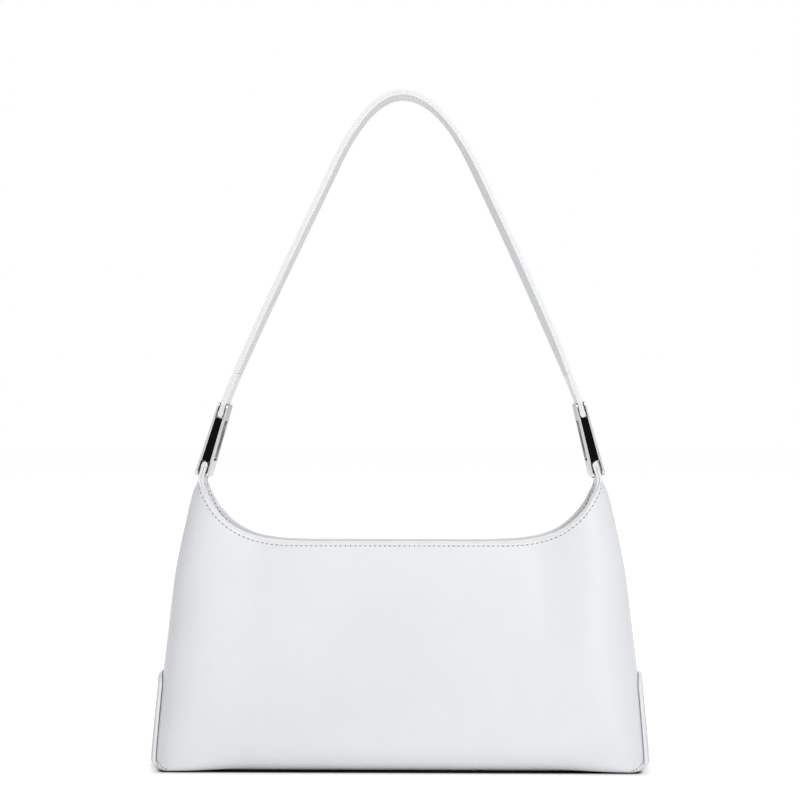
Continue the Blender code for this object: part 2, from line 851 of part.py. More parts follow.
def horn_ring(side, height, depths, share_limit):
    """Return a tab ring that follows the curved horn between two depths."""
    cut = rim_cut_angle() * share_limit
    faces = []
    for depth in depths:
        row = []
        for share in TAB_SHARES:
            column = wrap_column(side, abs(share) * cut)
            row.append(shell_point(column, BACK if share > 0 else FRONT, height, depth))
        faces.append(row)
    return tab_ring(*faces)


def link_ring(side, along, half_thickness):
    """Return a flat tab ring across the link's frame."""
    frame = link_frame(side)
    faces = [
        [frame @ Vector((x, share * TAB_WIDTH / 2, along)) for share in TAB_SHARES]
        for x in (side * half_thickness, -side * half_thickness)
    ]
    return tab_ring(*faces)


def make_tab(side, word, axis, leather):
    """Return a tab: a tail between the horn's layers, a neck and a loop round its rod."""
    tail_depths = (STIFFENER_DEPTH, STIFFENER_DEPTH + STIFFENER_THICKNESS)
    full_depths = (0, FACING_DEPTH + FACING_THICKNESS)
    seat = HORN_TOP + GAP
    rings = [
        horn_ring(side, seat - TAB_TAIL_LENGTH, tail_depths, TAB_TAIL_SHARE),
        horn_ring(side, seat, tail_depths, TAB_TAIL_SHARE),
    ]
    root = horn_ring(side, seat, full_depths, 1.0)
    mouth = link_ring(side, -NECK_LENGTH, TAB_NECK_THICKNESS / 2)
    for share in (0.0, 0.25, 0.5, 0.75, 1.0):
        eased = smooth_step(share)
        rings.append([a.lerp(b, blend(share, eased, 0.5)) for a, b in zip(root, mouth)])
    radius = loop_outer_radius()
    start = math.pi - math.asin(TAB_NECK_THICKNESS / 2 / radius)
    for step in range(LOOP_STEPS):
        turn = blend(start, 0.0, step / LOOP_STEPS)
        rings.append(link_ring(side, radius * math.cos(turn), radius * math.sin(turn)))
    tab = ring_solid(f"tab_{word}", rings, leather, curved=True)
    bore_turn = Matrix.Rotation(math.radians(90), 4, "X")
    bore_place = Matrix.Translation(lower_rod_centre(side) + Vector((0, TAB_WIDTH, 0))) @ bore_turn
    profile = ((ROD_RADIUS + LOOP_CLEARANCE, 0), (ROD_RADIUS + LOOP_CLEARANCE, 2 * TAB_WIDTH))
    bore = hidden(turned_solid(f"rod_bore_{word}", profile, bore_place, leather))
    hang_from(tab, axis)
    hang_from(bore, axis)
    combine(tab, bore, "DIFFERENCE")
    return tab


# Handle strap

def strap_centre_line():
    """Return the strap's centre line in (x, z), from the right neck over to the left one."""
    rod = upper_rod_centre(RIGHT)
    frame = link_frame(RIGHT)
    neck = frame @ Vector((0, 0, ROD_SPACING + NECK_LENGTH))
    apex = HANDLE_TOP - STRAP_THICKNESS / 2
    rise = apex - rod.z
    elbow = (rod.x * LEG_ELBOW_SHARES[0], rod.z + rise * LEG_ELBOW_SHARES[1])
    crown = (rod.x * CROWN_START_SHARES[0], rod.z + rise * CROWN_START_SHARES[1])
    corner = (rod.x * CROWN_CORNER_SHARE, apex)
    leg = [bezier(((neck.x, neck.z), elbow, crown), step / LEG_STEPS) for step in range(LEG_STEPS)]
    top = [bezier((crown, corner, (0, apex)), step / CROWN_STEPS) for step in range(CROWN_STEPS + 1)]
    right = leg + top
    return right + [Vector((-point.x, point.y)) for point in right[-2::-1]]


def line_piece(line, start, end):
    """Return the piece of a line between two distances along it."""
    piece = []
    travelled = 0.0
    for a, b in zip(line, line[1:]):
        step = (b - a).length
        first = max(start - travelled, 0.0)
        last = min(end - travelled, step)
        if last > first:
            if not piece:
                piece.append(a.lerp(b, first / step))
            piece.append(a.lerp(b, last / step))
        travelled += step
    return piece


def line_length(line):
    """Return the length of a line."""
    return sum((b - a).length for a, b in zip(line, line[1:]))


def offset_line(line, distance):
    """Return a line moved sideways, to the left of its own direction."""
    moved = []
    for number, point in enumerate(line):
        before = line[max(0, number - 1)]
        after = line[min(len(line) - 1, number + 1)]
        way = (after - before).normalized()
        moved.append(point + Vector((-way.y, way.x)) * distance)
    return moved


def band_solid(name, line, thickness, width, material):
    """Return a flat band of leather that follows a line in the XZ plane."""
    half = thickness / 2
    outline = offset_line(line, half) + offset_line(line, -half)[::-1]
    return extruded_solid(name, [(p.x, p.y) for p in outline], width, Matrix.Identity(4), material)


def loop_line(side):
    """Return the loop round a strap rod, from the outer leg to the turned-in end."""
    frame = link_frame(side)
    radius = loop_outer_radius() - STRAP_LEATHER / 2
    meet = math.asin((STRAP_THICKNESS - STRAP_LEATHER) / 2 / radius)
    points = []
    for step in range(LOOP_STEPS + 1):
        turn = blend(meet, 2 * math.pi - meet, step / LOOP_STEPS)
        across_link = side * radius * math.sin(turn)
        place = frame @ Vector((across_link, 0, ROD_SPACING + radius * math.cos(turn)))
        points.append(Vector((place.x, place.z)))
    return points


def make_strap(axis, leather, facing, board):
    """Return the strap's outer leather with its loops, its core and its inner leather."""
    centre = strap_centre_line()
    shift = (STRAP_THICKNESS - STRAP_LEATHER) / 2
    outer_leg = offset_line(centre, -shift)
    inner_leg = offset_line(centre, shift)
    length = line_length(inner_leg)
    turned_right = line_piece(inner_leg, 0, LOOP_TURN_LENGTH)
    turned_left = line_piece(inner_leg, length - LOOP_TURN_LENGTH, length)
    line = turned_right[::-1] + loop_line(RIGHT)[::-1] + outer_leg + loop_line(LEFT) + turned_left[::-1]
    hang_from(band_solid("strap_outer", line, STRAP_LEATHER, STRAP_WIDTH, leather), axis)
    butt = LOOP_TURN_LENGTH + GAP
    inner_line = line_piece(inner_leg, butt, length - butt)
    hang_from(band_solid("strap_inner", inner_line, STRAP_LEATHER, STRAP_WIDTH, facing), axis)
    core_line = line_piece(centre, NECK_LENGTH, line_length(centre) - NECK_LENGTH)
    core_width = STRAP_WIDTH - 2 * STRAP_LEATHER
    hang_from(band_solid("strap_core", core_line, STRAP_CORE, core_width, board), axis)


def clear_scene():
    """Remove every object so that the bag is built alone."""
    for thing in list(bpy.data.objects):
        bpy.data.objects.remove(thing, do_unlink=True)


def main():
    """Build the bag, from the shell inwards and then up to the handle."""
    clear_scene()
    finishes = make_finishes()
    make_panel("front_panel", FRONT, finishes["leather"])
    make_panel("back_panel", BACK, finishes["leather"])
    make_base_strip(finishes["leather"])
    make_stiffener("front_stiffener", FRONT, finishes["board"])
    make_stiffener("back_stiffener", BACK, finishes["board"])
    make_facing("front_facing", FRONT, finishes["facing"])
    make_facing("back_facing", BACK, finishes["facing"])
    make_base_board(finishes["board"])
    make_lining(finishes["lining"])
    make_pocket(finishes["lining"])
    make_snap(finishes["chrome"], finishes["steel"])
    lean = axis_empty("lean_axis", Vector((0, 0, HORN_TOP + LEAN_AXIS_RISE)))
    rod_width = TAB_WIDTH - 2 * LOOP_CLEARANCE
    for side, word in ((LEFT, "left"), (RIGHT, "right")):
        make_tab(side, word, lean, finishes["leather"])
        make_rod(f"tab_rod_{word}", lower_rod_centre(side), rod_width, lean, finishes["steel"])
        link_axis = axis_empty(f"link_axis_{word}", lower_rod_centre(side), lean)
        make_link(side, word, link_axis, finishes)
    handle_axis = axis_empty("handle_axis", upper_rod_centre(LEFT), lean)
    for side, word in ((LEFT, "left"), (RIGHT, "right")):
        make_rod(f"strap_rod_{word}", upper_rod_centre(side), rod_width, handle_axis, finishes["steel"])
    make_strap(handle_axis, finishes["leather"], finishes["facing"], finishes["board"])


main()
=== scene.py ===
import json
import logging
import math
from dataclasses import dataclass, field
from enum import Enum, IntEnum
from functools import cached_property
from typing import Callable, Sequence

import bmesh
import bpy
import numpy as np
from mathutils import Matrix, Vector

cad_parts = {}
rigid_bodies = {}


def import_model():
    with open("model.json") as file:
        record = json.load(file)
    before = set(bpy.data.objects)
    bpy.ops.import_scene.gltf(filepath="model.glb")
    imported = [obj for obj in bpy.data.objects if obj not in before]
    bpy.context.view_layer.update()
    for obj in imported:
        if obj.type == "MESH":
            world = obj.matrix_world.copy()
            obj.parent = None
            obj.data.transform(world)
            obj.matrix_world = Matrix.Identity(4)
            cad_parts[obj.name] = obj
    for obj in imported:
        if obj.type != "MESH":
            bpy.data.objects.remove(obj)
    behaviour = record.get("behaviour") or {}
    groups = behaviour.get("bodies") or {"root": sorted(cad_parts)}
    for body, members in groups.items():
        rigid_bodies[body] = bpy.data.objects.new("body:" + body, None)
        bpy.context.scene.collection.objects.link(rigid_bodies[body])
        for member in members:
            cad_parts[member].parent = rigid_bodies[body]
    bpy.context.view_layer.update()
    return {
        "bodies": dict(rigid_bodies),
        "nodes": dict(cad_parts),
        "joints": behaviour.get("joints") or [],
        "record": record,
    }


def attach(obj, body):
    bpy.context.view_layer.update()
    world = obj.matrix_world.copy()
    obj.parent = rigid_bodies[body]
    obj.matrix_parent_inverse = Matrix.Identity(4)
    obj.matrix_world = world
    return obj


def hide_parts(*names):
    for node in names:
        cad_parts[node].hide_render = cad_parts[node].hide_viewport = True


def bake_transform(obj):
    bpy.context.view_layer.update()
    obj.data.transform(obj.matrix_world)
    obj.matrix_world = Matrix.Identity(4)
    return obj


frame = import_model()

log = logging.getLogger("shoulder_bag")
FLAT_COLUMNS = 500
SLOPE_STEP = 2e-4
HOLE_LIFT = 0.00003
SMALLEST_RADIUS = 0.00004
RIM_TURNS = np.radians((0, 15, 30, 45, 60, 75, 90))
EDGE_TURNS = np.radians((0, 18, 36, 54, 72, 90))
Colour = tuple[float, float, float]
Points = np.ndarray


class Half(IntEnum):
    """One of two opposite places on the bag."""

    @property
    def word(self) -> str:
        """Return the place's name as the names of pieces have it."""
        return self.name.lower()


class Side(Half):
    """Which end of the bag a part belongs to."""

    LEFT = -1
    RIGHT = 1


class Face(Half):
    """Which wall of the bag a part belongs to."""

    FRONT = -1
    BACK = 1


class Slot(str, Enum):
    """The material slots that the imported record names."""

    LEATHER = "white_leather"
    FACING = "facing_leather"
    BOARD = "grey_board"
    LINING = "lining_twill"
    CHROME = "polished_metal"
    STEEL = "plain_steel"
    ENAMEL = "black_enamel"


def smooth_step(value: Points) -> Points:
    """Return an S-shaped share between 0 and 1."""
    held = np.clip(value, 0.0, 1.0)
    return held * held * (3 - 2 * held)


def blend(low: Points, high: Points, share: Points) -> Points:
    """Return the value a share of the way from low to high."""
    return low + (high - low) * share


def unit(vectors: Points) -> Points:
    """Return vectors scaled to a length of one."""
    length = np.linalg.norm(vectors, axis=-1, keepdims=True)
    return vectors / np.where(length < 1e-12, 1.0, length)


def in_frame(frame: Matrix, x: Points, y: Points, z: Points) -> Points:
    """Return the points in space of places that are given in a frame."""
    local = np.stack(np.broadcast_arrays(x, y, z, 1.0), -1)
    return (local @ np.array(frame).T)[..., :3]


def bezier(points: Sequence[Points], share: Points) -> Points:
    """Return the place a share of the way along a curve with four control points.

    Args:
        points: The four control points, or their values on one axis.
        share: Shares along the curve.

    Returns:
        The places on the curve.
    """
    rest = 1 - share
    weights = (rest**3, 3 * share * rest**2, 3 * share * share * rest, share**3)
    return sum(w * p for w, p in zip(weights, points))


def path_lengths(line: Points) -> Points:
    """Return the length along a line at each of its points."""
    return np.concatenate([[0.0], np.cumsum(np.linalg.norm(np.diff(line, axis=0), axis=1))])


def path_points(line: Points, at: Points) -> Points:
    """Return the points of a flat line at the given lengths along it."""
    length = path_lengths(line)
    return np.stack([np.interp(at, length, line[:, axis]) for axis in (0, 1)], -1)


def path_evened(line: Points, count: int) -> Points:
    """Return a flat line again with evenly spaced points."""
    return path_points(line, np.linspace(0, path_lengths(line)[-1], count))


# Shape of the body


@dataclass(frozen=True)
class BodyForm:
    """The outer surface that the leather, facings and lining of the body follow.

    A place on it is (k, z): k runs from -1 at the left side seam over 0 at the middle
    of a wall to 1 at the right side seam, measured along the leather, and z is a height.
    """

    base_width: float = 0.2860
    base_depth: float = 0.0650
    rim_height: float = 0.1298
    rim_depth: float = 0.0285
    side_depth: float = 0.0490
    horn_width_share: float = 0.8455
    horn_rise: float = 0.0282
    flare_low: float = 0.0048
    flare_high: float = 0.0081
    flare_shares: tuple[float, float] = (0.42, 0.81)
    base_power: float = 22.0
    top_power: float = 6.0
    round_height: float = 0.110
    lean_power: float = 1.1
    side_shares: tuple[float, float] = (0.60, 1.00)
    rim_flat: float = 0.45
    rim_rise: float = 0.0411
    rim_power: float = 2.75
    roll_large: float = 0.0120
    roll_small: float = 0.0018
    roll_shares: tuple[float, float] = (0.97, 0.60)
    floor: float = 0.0023
    flat_turn: float = math.radians(64)
    gap: float = 0.0003
    corner_ease: float = 0.0007
    fullness: float = 0.0010
    full_height: float = 0.112
    full_reach: float = 0.026
    seam: float = 0.00015

    @property
    def horn_top(self) -> float:
        """Return the height of the horns' level tops."""
        return self.rim_height + self.horn_rise

    @property
    def roll_level(self) -> float:
        """Return the height where the large roll meets the wall."""
        return self.floor + self.roll_large

    @cached_property
    def _width_table(self) -> tuple[Points, Points]:
        """Return heights and half widths along the side's curved outline.

        Returns:
            Heights and the half widths there.
        """
        half, top = self.base_width / 2, self.base_width * self.horn_width_share / 2
        low, high = self.flare_shares
        x = (half, half - self.flare_low, top + self.flare_high, top)
        z = (0.0, self.horn_top * low, self.horn_top * high, self.horn_top)
        past_top = np.linspace(0, 1.12, 2400)
        return bezier(z, past_top), bezier(x, past_top)

    def half_width(self, z: Points) -> Points:
        """Return half the body's width at a height, with the leather's slight fullness.

        Args:
            z: Heights.

        Returns:
            The half widths.
        """
        heights, widths = self._width_table
        away = (np.asarray(z) - self.full_height) / self.full_reach
        return np.interp(z, heights, widths) + self.fullness * np.exp(-(away**2))

    def power(self, z: Points) -> Points:
        """Return the section's power: high for square corners, low for round sides."""
        share = np.maximum(0.0, 1.0 - np.asarray(z) / self.round_height) ** 2
        return blend(self.top_power, self.base_power, share)

    def half_depth(self, share: Points, z: Points) -> Points:
        """Return half the section's full depth, larger at the sides than at the middle.

        Args:
            share: Shares of the half width.
            z: Heights.

        Returns:
            The half depths.
        """
        rise = np.maximum(0.0, np.asarray(z) - self.roll_level)
        lean = (rise / (self.rim_height - self.roll_level)) ** self.lean_power
        middle = blend(self.base_depth / 2, self.rim_depth / 2, lean)
        climb = rise / (self.horn_top - self.roll_level)
        side = blend(self.base_depth / 2, self.side_depth / 2, climb)
        start, end = self.side_shares
        return blend(middle, side, smooth_step((share - start) / (end - start)))

    def _across(self, turn: Points, flat: Points, z: Points) -> tuple[Points, Points]:
        """Return a column's share of the half width and the sine of its wrap.

        Args:
            turn: Angles round the side.
            flat: Shares of the flat part in front of the wrap.
            z: Heights.

        Returns:
            The shares and the sines.
        """
        power = self.power(z)
        share = np.cos(turn) ** (2 / power) * flat
        return share, np.sqrt(np.clip(1 - share**power, 0.0, 1.0))

    @cached_property
    def _columns(self) -> tuple[Points, Points, Points, float]:
        """Return lengths along the leather with the wrap and flat share of each column.

        Returns:
            Lengths from 0 to 1, wraps and flat shares by column, and the whole length.
        """
        on_wall, on_side = FLAT_COLUMNS, 900
        start = self.flat_turn
        turn = np.concatenate([np.full(on_wall, start), np.linspace(start, 0, on_side)])
        flat = np.concatenate([np.linspace(0, 1, on_wall), np.ones(on_side)])
        level = self.horn_top
        share, sine = self._across(turn, flat, level)
        x, y = share * self.half_width(level), self.half_depth(share, level) * sine
        steps = np.hypot(np.diff(x), np.diff(y))
        length = np.concatenate([[0.0], np.cumsum(steps)])
        return length / length[-1], turn, flat, float(length[-1])

    @property
    def wall_length(self) -> float:
        """Return the length of leather from the middle of a wall to a side seam."""
        return self._columns[3]

    def across(self, k: Points, z: Points) -> tuple[Points, Points]:
        """Return the share of the half width and the sine of the wrap at a place.

        Args:
            k: Places across the walls, from -1 to 1.
            z: Heights.

        Returns:
            The shares and the sines.
        """
        length, turn, flat, _ = self._columns
        place = np.abs(k)
        return self._across(np.interp(place, length, turn), np.interp(place, length, flat), z)

    def place_for_turn(self, turn: Points) -> Points:
        """Return |k| of the columns with given angles round the side."""
        length, turns, _, _ = self._columns
        return np.interp(-turn, -turns[FLAT_COLUMNS:], length[FLAT_COLUMNS:])

    def turn_for_place(self, place: float) -> float:
        """Return the angle round the side of the column at |k|."""
        length, turns, _, _ = self._columns
        return float(np.interp(place, length, turns))

    def _wall(self, k: Points, z: Points, depth: Points, face: Points) -> tuple[Points, Points]:
        """Return points of the upright wall and the level outward direction there.

        Args:
            k: Places across the walls, from -1 to 1.
            z: Heights.
            depth: Depths below the outer surface, in metres.
            face: The wall.

        Returns:
            The points and the directions.
        """
        share, sine = self.across(k, z)
        side = np.where(np.asarray(k) < 0, -1.0, 1.0)
        power, width = self.power(z), self.half_width(z)
        reach = self.half_depth(share, z)
        step = 1 / 1024
        slope = (self.half_depth(share + step, z) - self.half_depth(share - step, z)) / (2 * step)
        nx = side * (reach * power * share ** (power - 1) / 2 - slope * sine**2) / width
        outward = unit(np.stack([nx, face * sine, np.zeros_like(nx)], -1))
        height = np.broadcast_to(z, nx.shape)
        point = np.stack([side * share * width, face * reach * sine, height], -1)
        return point - outward * np.asarray(depth)[..., None], outward

    def _roll_size(self, k: Points) -> Points:
        """Return the radius of the rolled lower edge, small near the corners.

        Args:
            k: Places across the walls, from -1 to 1.

        Returns:
            The radii.
        """
        start, end = self.roll_shares
        share = self.across(k, 0.0)[0]
        return blend(self.roll_small, self.roll_large, smooth_step((share - start) / (end - start)))

    def roll(self, k: Points, angle: Points, depth: Points, face: Points) -> Points:
        """Return points on the rolled lower edge, at an angle below level.

        Args:
            k: Places across the walls, from -1 to 1.
            angle: Angles below level.
            depth: Depths below the outer surface, in metres.
            face: The wall.

        Returns:
            The points.
        """
        radius = self._roll_size(k)
        point, outward = self._wall(k, self.floor + radius, np.zeros_like(radius), face)
        reach = (radius - depth)[..., None]
        down = np.array((0.0, 0.0, 1.0))
        centre = point - outward * radius[..., None]
        swing = np.asarray(angle)[..., None]
        return centre + outward * reach * np.cos(swing) - down * reach * np.sin(swing)

    def layer(self, k: Points, z: Points, depth: Points, face: Points) -> Points:
        """Return points of the layer that lies a depth inside the leather's face.

        Args:
            k: Places across the walls.
            z: Heights.
            depth: Depths below the outer surface, in metres.
            face: -1 for the front wall and 1 for the back wall.

        Returns:
            An array of points, one for each place.
        """
        k, z, depth, face = np.broadcast_arrays(
            *(np.asarray(v, float) for v in (k, z, depth, face))
        )
        point, _ = self._wall(k, z, depth, face)
        radius = self._roll_size(k)
        level = self.floor + radius
        low = (z < level) & (radius > depth)
        sine = np.clip((level - z) / np.maximum(radius - depth, 1e-6), 0.0, 1.0)
        rolled = self.roll(k, np.arcsin(sine), depth, face)
        rolled[..., 2] = z
        return np.where(low[..., None], rolled, point)

    def top(self, k: Points) -> Points:
        """Return the height of the wall's upper edge.

        Args:
            k: Places across the walls, from -1 to 1.

        Returns:
            The heights.
        """
        share = self.across(k, self.horn_top)[0]
        climb = np.maximum(0.0, (share - self.rim_flat) / (1 - self.rim_flat)) ** self.rim_power
        curve = self.rim_height + self.rim_rise * climb
        ease = self.corner_ease
        return -ease * np.logaddexp(-curve / ease, -self.horn_top / ease)

    @cached_property
    def cut_turn(self) -> float:
        """Return the angle round the side where the rim reaches the horn's level top.

        Returns:
            The angle.
        """
        climb = (self.horn_rise / self.rim_rise) ** (1 / self.rim_power)
        share = blend(self.rim_flat, 1.0, climb)
        return math.acos(share ** (self.top_power / 2))

    @cached_property
    def cut(self) -> float:
        """Return |k| where the rim reaches the horn's level top."""
        return float(self.place_for_turn(self.cut_turn))

    @property
    def limits(self) -> tuple[float, float]:
        """Return the smallest and the largest k, a hair's breadth from the side seams."""
        limit = 1 - self.seam / self.wall_length
        return -limit, limit

    def slopes(self, k: Points, z: Points, face: Points) -> tuple[Points, Points]:
        """Return how a point of the outer surface moves with k and with z.

        Args:
            k: Places across the walls, from -1 to 1.
            z: Heights.
            face: The wall.

        Returns:
            The changes of the point for each step in k, and for each metre in z.
        """
        step = SLOPE_STEP
        inner = np.clip(np.abs(k), 0, 1 - step) * np.where(np.asarray(k) < 0, -1, 1)
        by_k, by_z = (
            self.layer(inner + dk, z + dz, 0, face) - self.layer(inner - dk, z - dz, 0, face)
            for dk, dz in ((step, 0), (0, step))
        )
        return by_k / (2 * step), by_z / (2 * step)

    def outward(self, k: Points, z: Points, face: Points) -> Points:
        """Return the true outward direction of the surface."""
        by_k, by_z = self.slopes(k, z, face)
        return unit(np.cross(by_k, by_z) * -np.asarray(face, float)[..., None])

    def rim_steps(self, k: Points, face: Points) -> tuple[Points, Points]:
        """Return the steps in k and z for each metre that a place moves in from the rim.

        Args:
            k: Places across the walls, from -1 to 1.
            face: The wall.

        Returns:
            The steps in k and the steps in z.
        """
        top, h = self.top(k), SLOPE_STEP
        by_k, by_z = self.slopes(k, top, face)
        slope = (self.top(k + h) - self.top(k - h)) / (2 * h)
        along = unit(by_k + by_z * slope[..., None])
        inward = -unit(by_z - along * np.sum(by_z * along, -1, keepdims=True))
        kk, kz, zz = (np.sum(a * b, -1) for a, b in ((by_k, by_k), (by_k, by_z), (by_z, by_z)))
        k_in, z_in = np.sum(by_k * inward, -1), np.sum(by_z * inward, -1)
        det = kk * zz - kz * kz
        return (k_in * zz - z_in * kz) / det, (z_in * kk - k_in * kz) / det

    def eased_steps(self, k: Points, face: Points, reach: float = 0.0045) -> tuple[Points, Points]:
        """Return the rim steps evened out along the rim, so that rows don't cross at a horn.

        Args:
            k: Places across the walls, from -1 to 1.
            face: The wall.
            reach: How far along the rim the steps are averaged.

        Returns:
            The steps in k and the steps in z.
        """
        sum_k, sum_z, total = 0.0, 0.0, 0.0
        for shift in np.linspace(-1, 1, 15):
            weight = 1 - abs(shift) * 0.8
            near = np.clip(k + shift * reach / self.wall_length, -0.9995, 0.9995)
            step_k, step_z = self.rim_steps(near, face)
            sum_k, sum_z, total = sum_k + weight * step_k, sum_z + weight * step_z, total + weight
        return sum_k / total, sum_z / total

    def from_rim(self, k: Points, distance: Points, face: Points) -> tuple[Points, Points]:
        """Return the place (k, z) that lies a distance in from the rim at k."""
        step_k, step_z = self.rim_steps(k, face)
        return np.clip(k + step_k * distance, -1, 1), self.top(k) + step_z * distance

    def place_at(self, x_side: Points, y: Points, z: Points) -> Points:
        """Return k on the wrap of one side whose surface lies at y, by halving.

        Args:
            x_side: -1 for the left side and 1 for the right side.
            y: Offsets from the middle plane.
            z: Heights.

        Returns:
            The places k, one for each offset.
        """
        low = np.full(np.shape(y), 0.55)
        high = np.ones(np.shape(y))
        for _ in range(34):
            middle = (low + high) / 2
            share, sine = self.across(middle, z)
            inside = self.half_depth(share, z) * sine > np.abs(y)
            low, high = np.where(inside, middle, low), np.where(inside, high, middle)
        return x_side * (low + high) / 2


@dataclass(frozen=True)
class LinkForm:
    """Sizes and places of the metal links and the rods that they hold."""

    tilt: float = math.radians(15.7)
    width: float = 0.0240
    thickness: float = 0.0082
    end: float = 0.0063
    cheek: float = 0.0013
    pad: float = 0.0003
    lip_opening: float = 0.0045
    lip_height: float = 0.0012
    lip_ease: float = 0.0002
    rod_spacing: float = 0.0314
    rod_radius: float = 0.0012
    rod_inset: float = 0.00785
    rod_rise: float = 0.0157
    clearance: float = 0.0003
    leather: float = 0.0010
    window: tuple[float, float] = (0.0150, 0.0240)
    post_radius: float = 0.0015
    post_spacing: float = 0.0160
    corner: float = 0.0016
    core_setback: float = 0.0004
    gap: float = 0.0003
    taper: float = 0.26
    hang: float = 0.0011

    @property
    def inner_face(self) -> float:
        """Return the distance of a cheek's inner face from the link's middle."""
        return self.thickness / 2 - self.cheek

    @property
    def pad_face(self) -> float:
        """Return the distance of a cheek's raised pad from the link's middle."""
        return self.inner_face - self.pad

    @property
    def loop_radius(self) -> float:
        """Return the outer radius of a leather loop round its rod."""
        return self.rod_radius + self.clearance + self.leather

    @property
    def core_reach(self) -> float:
        """Return half the core's length."""
        return self.rod_spacing / 2 - self.loop_radius - self.clearance

    def share(self, along: Points) -> Points:
        """Return how far up the link a place lies, 0 at its foot and 1 at its top."""
        return (along + self.end) / (self.rod_spacing + 2 * self.end)

    def hung(self, x: Points, along: Points) -> Points:
        """Return places across the link as it hangs, drawn together and swung over at its top."""
        share = self.share(along)
        return x * (1 - self.taper * share) + self.hang * share

    def rod(self, body: BodyForm, side: Side) -> Vector:
        """Return the centre of the rod in a tab's loop."""
        x = float(body.half_width(body.horn_top)) - self.rod_inset
        return Vector((side * x, 0, body.horn_top + self.rod_rise))

    def frame(self, body: BodyForm, side: Side) -> Matrix:
        """Return a link's frame: origin at the lower rod, X to the right, Z along the link.

        Args:
            body: The body's surface.
            side: The end of the bag.

        Returns:
            The frame as a matrix.
        """
        along = Vector((-side * math.sin(self.tilt), 0, math.cos(self.tilt)))
        depth = Vector((0, 1, 0))
        turn = Matrix((depth.cross(along), depth, along)).transposed().to_4x4()
        return Matrix.Translation(self.rod(body, side)) @ turn


# Shader maths


class Shade:
    """A shader socket that ordinary arithmetic can be done with."""

    def __init__(self, graph: "FinishGraph", socket: bpy.types.NodeSocket) -> None:
        """Keep the socket and the graph that new nodes go into."""
        self.graph = graph
        self.socket = socket

    def _math(self, operation: str, first: "Shade | float", second: "Shade | float") -> "Shade":
        """Return the socket of a new Math node."""
        return self.graph.node("ShaderNodeMath", {"operation": operation}, {0: first, 1: second})

    def __add__(self, other: "Shade | float") -> "Shade":
        """Return self + other."""
        return self._math("ADD", self, other)

    def __radd__(self, other: float) -> "Shade":
        """Return other + self."""
        return self._math("ADD", other, self)

    def __sub__(self, other: "Shade | float") -> "Shade":
        """Return self - other."""
        return self._math("SUBTRACT", self, other)

    def __rsub__(self, other: float) -> "Shade":
        """Return other - self."""
        return self._math("SUBTRACT", other, self)

    def __mul__(self, other: "Shade | float") -> "Shade":
        """Return self * other."""
        return self._math("MULTIPLY", self, other)

    def __rmul__(self, other: float) -> "Shade":
        """Return other * self."""
        return self._math("MULTIPLY", other, self)

    def clamp(self) -> "Shade":
        """Return the value held between 0 and 1."""
        return self.graph.node("ShaderNodeClamp", {}, {0: self})

    def maths(self, operation: str, second: "Shade | float" = 0.0) -> "Shade":
        """Return the result of another Math operation, such as SINE or MAXIMUM."""
        return self._math(operation, self, second)


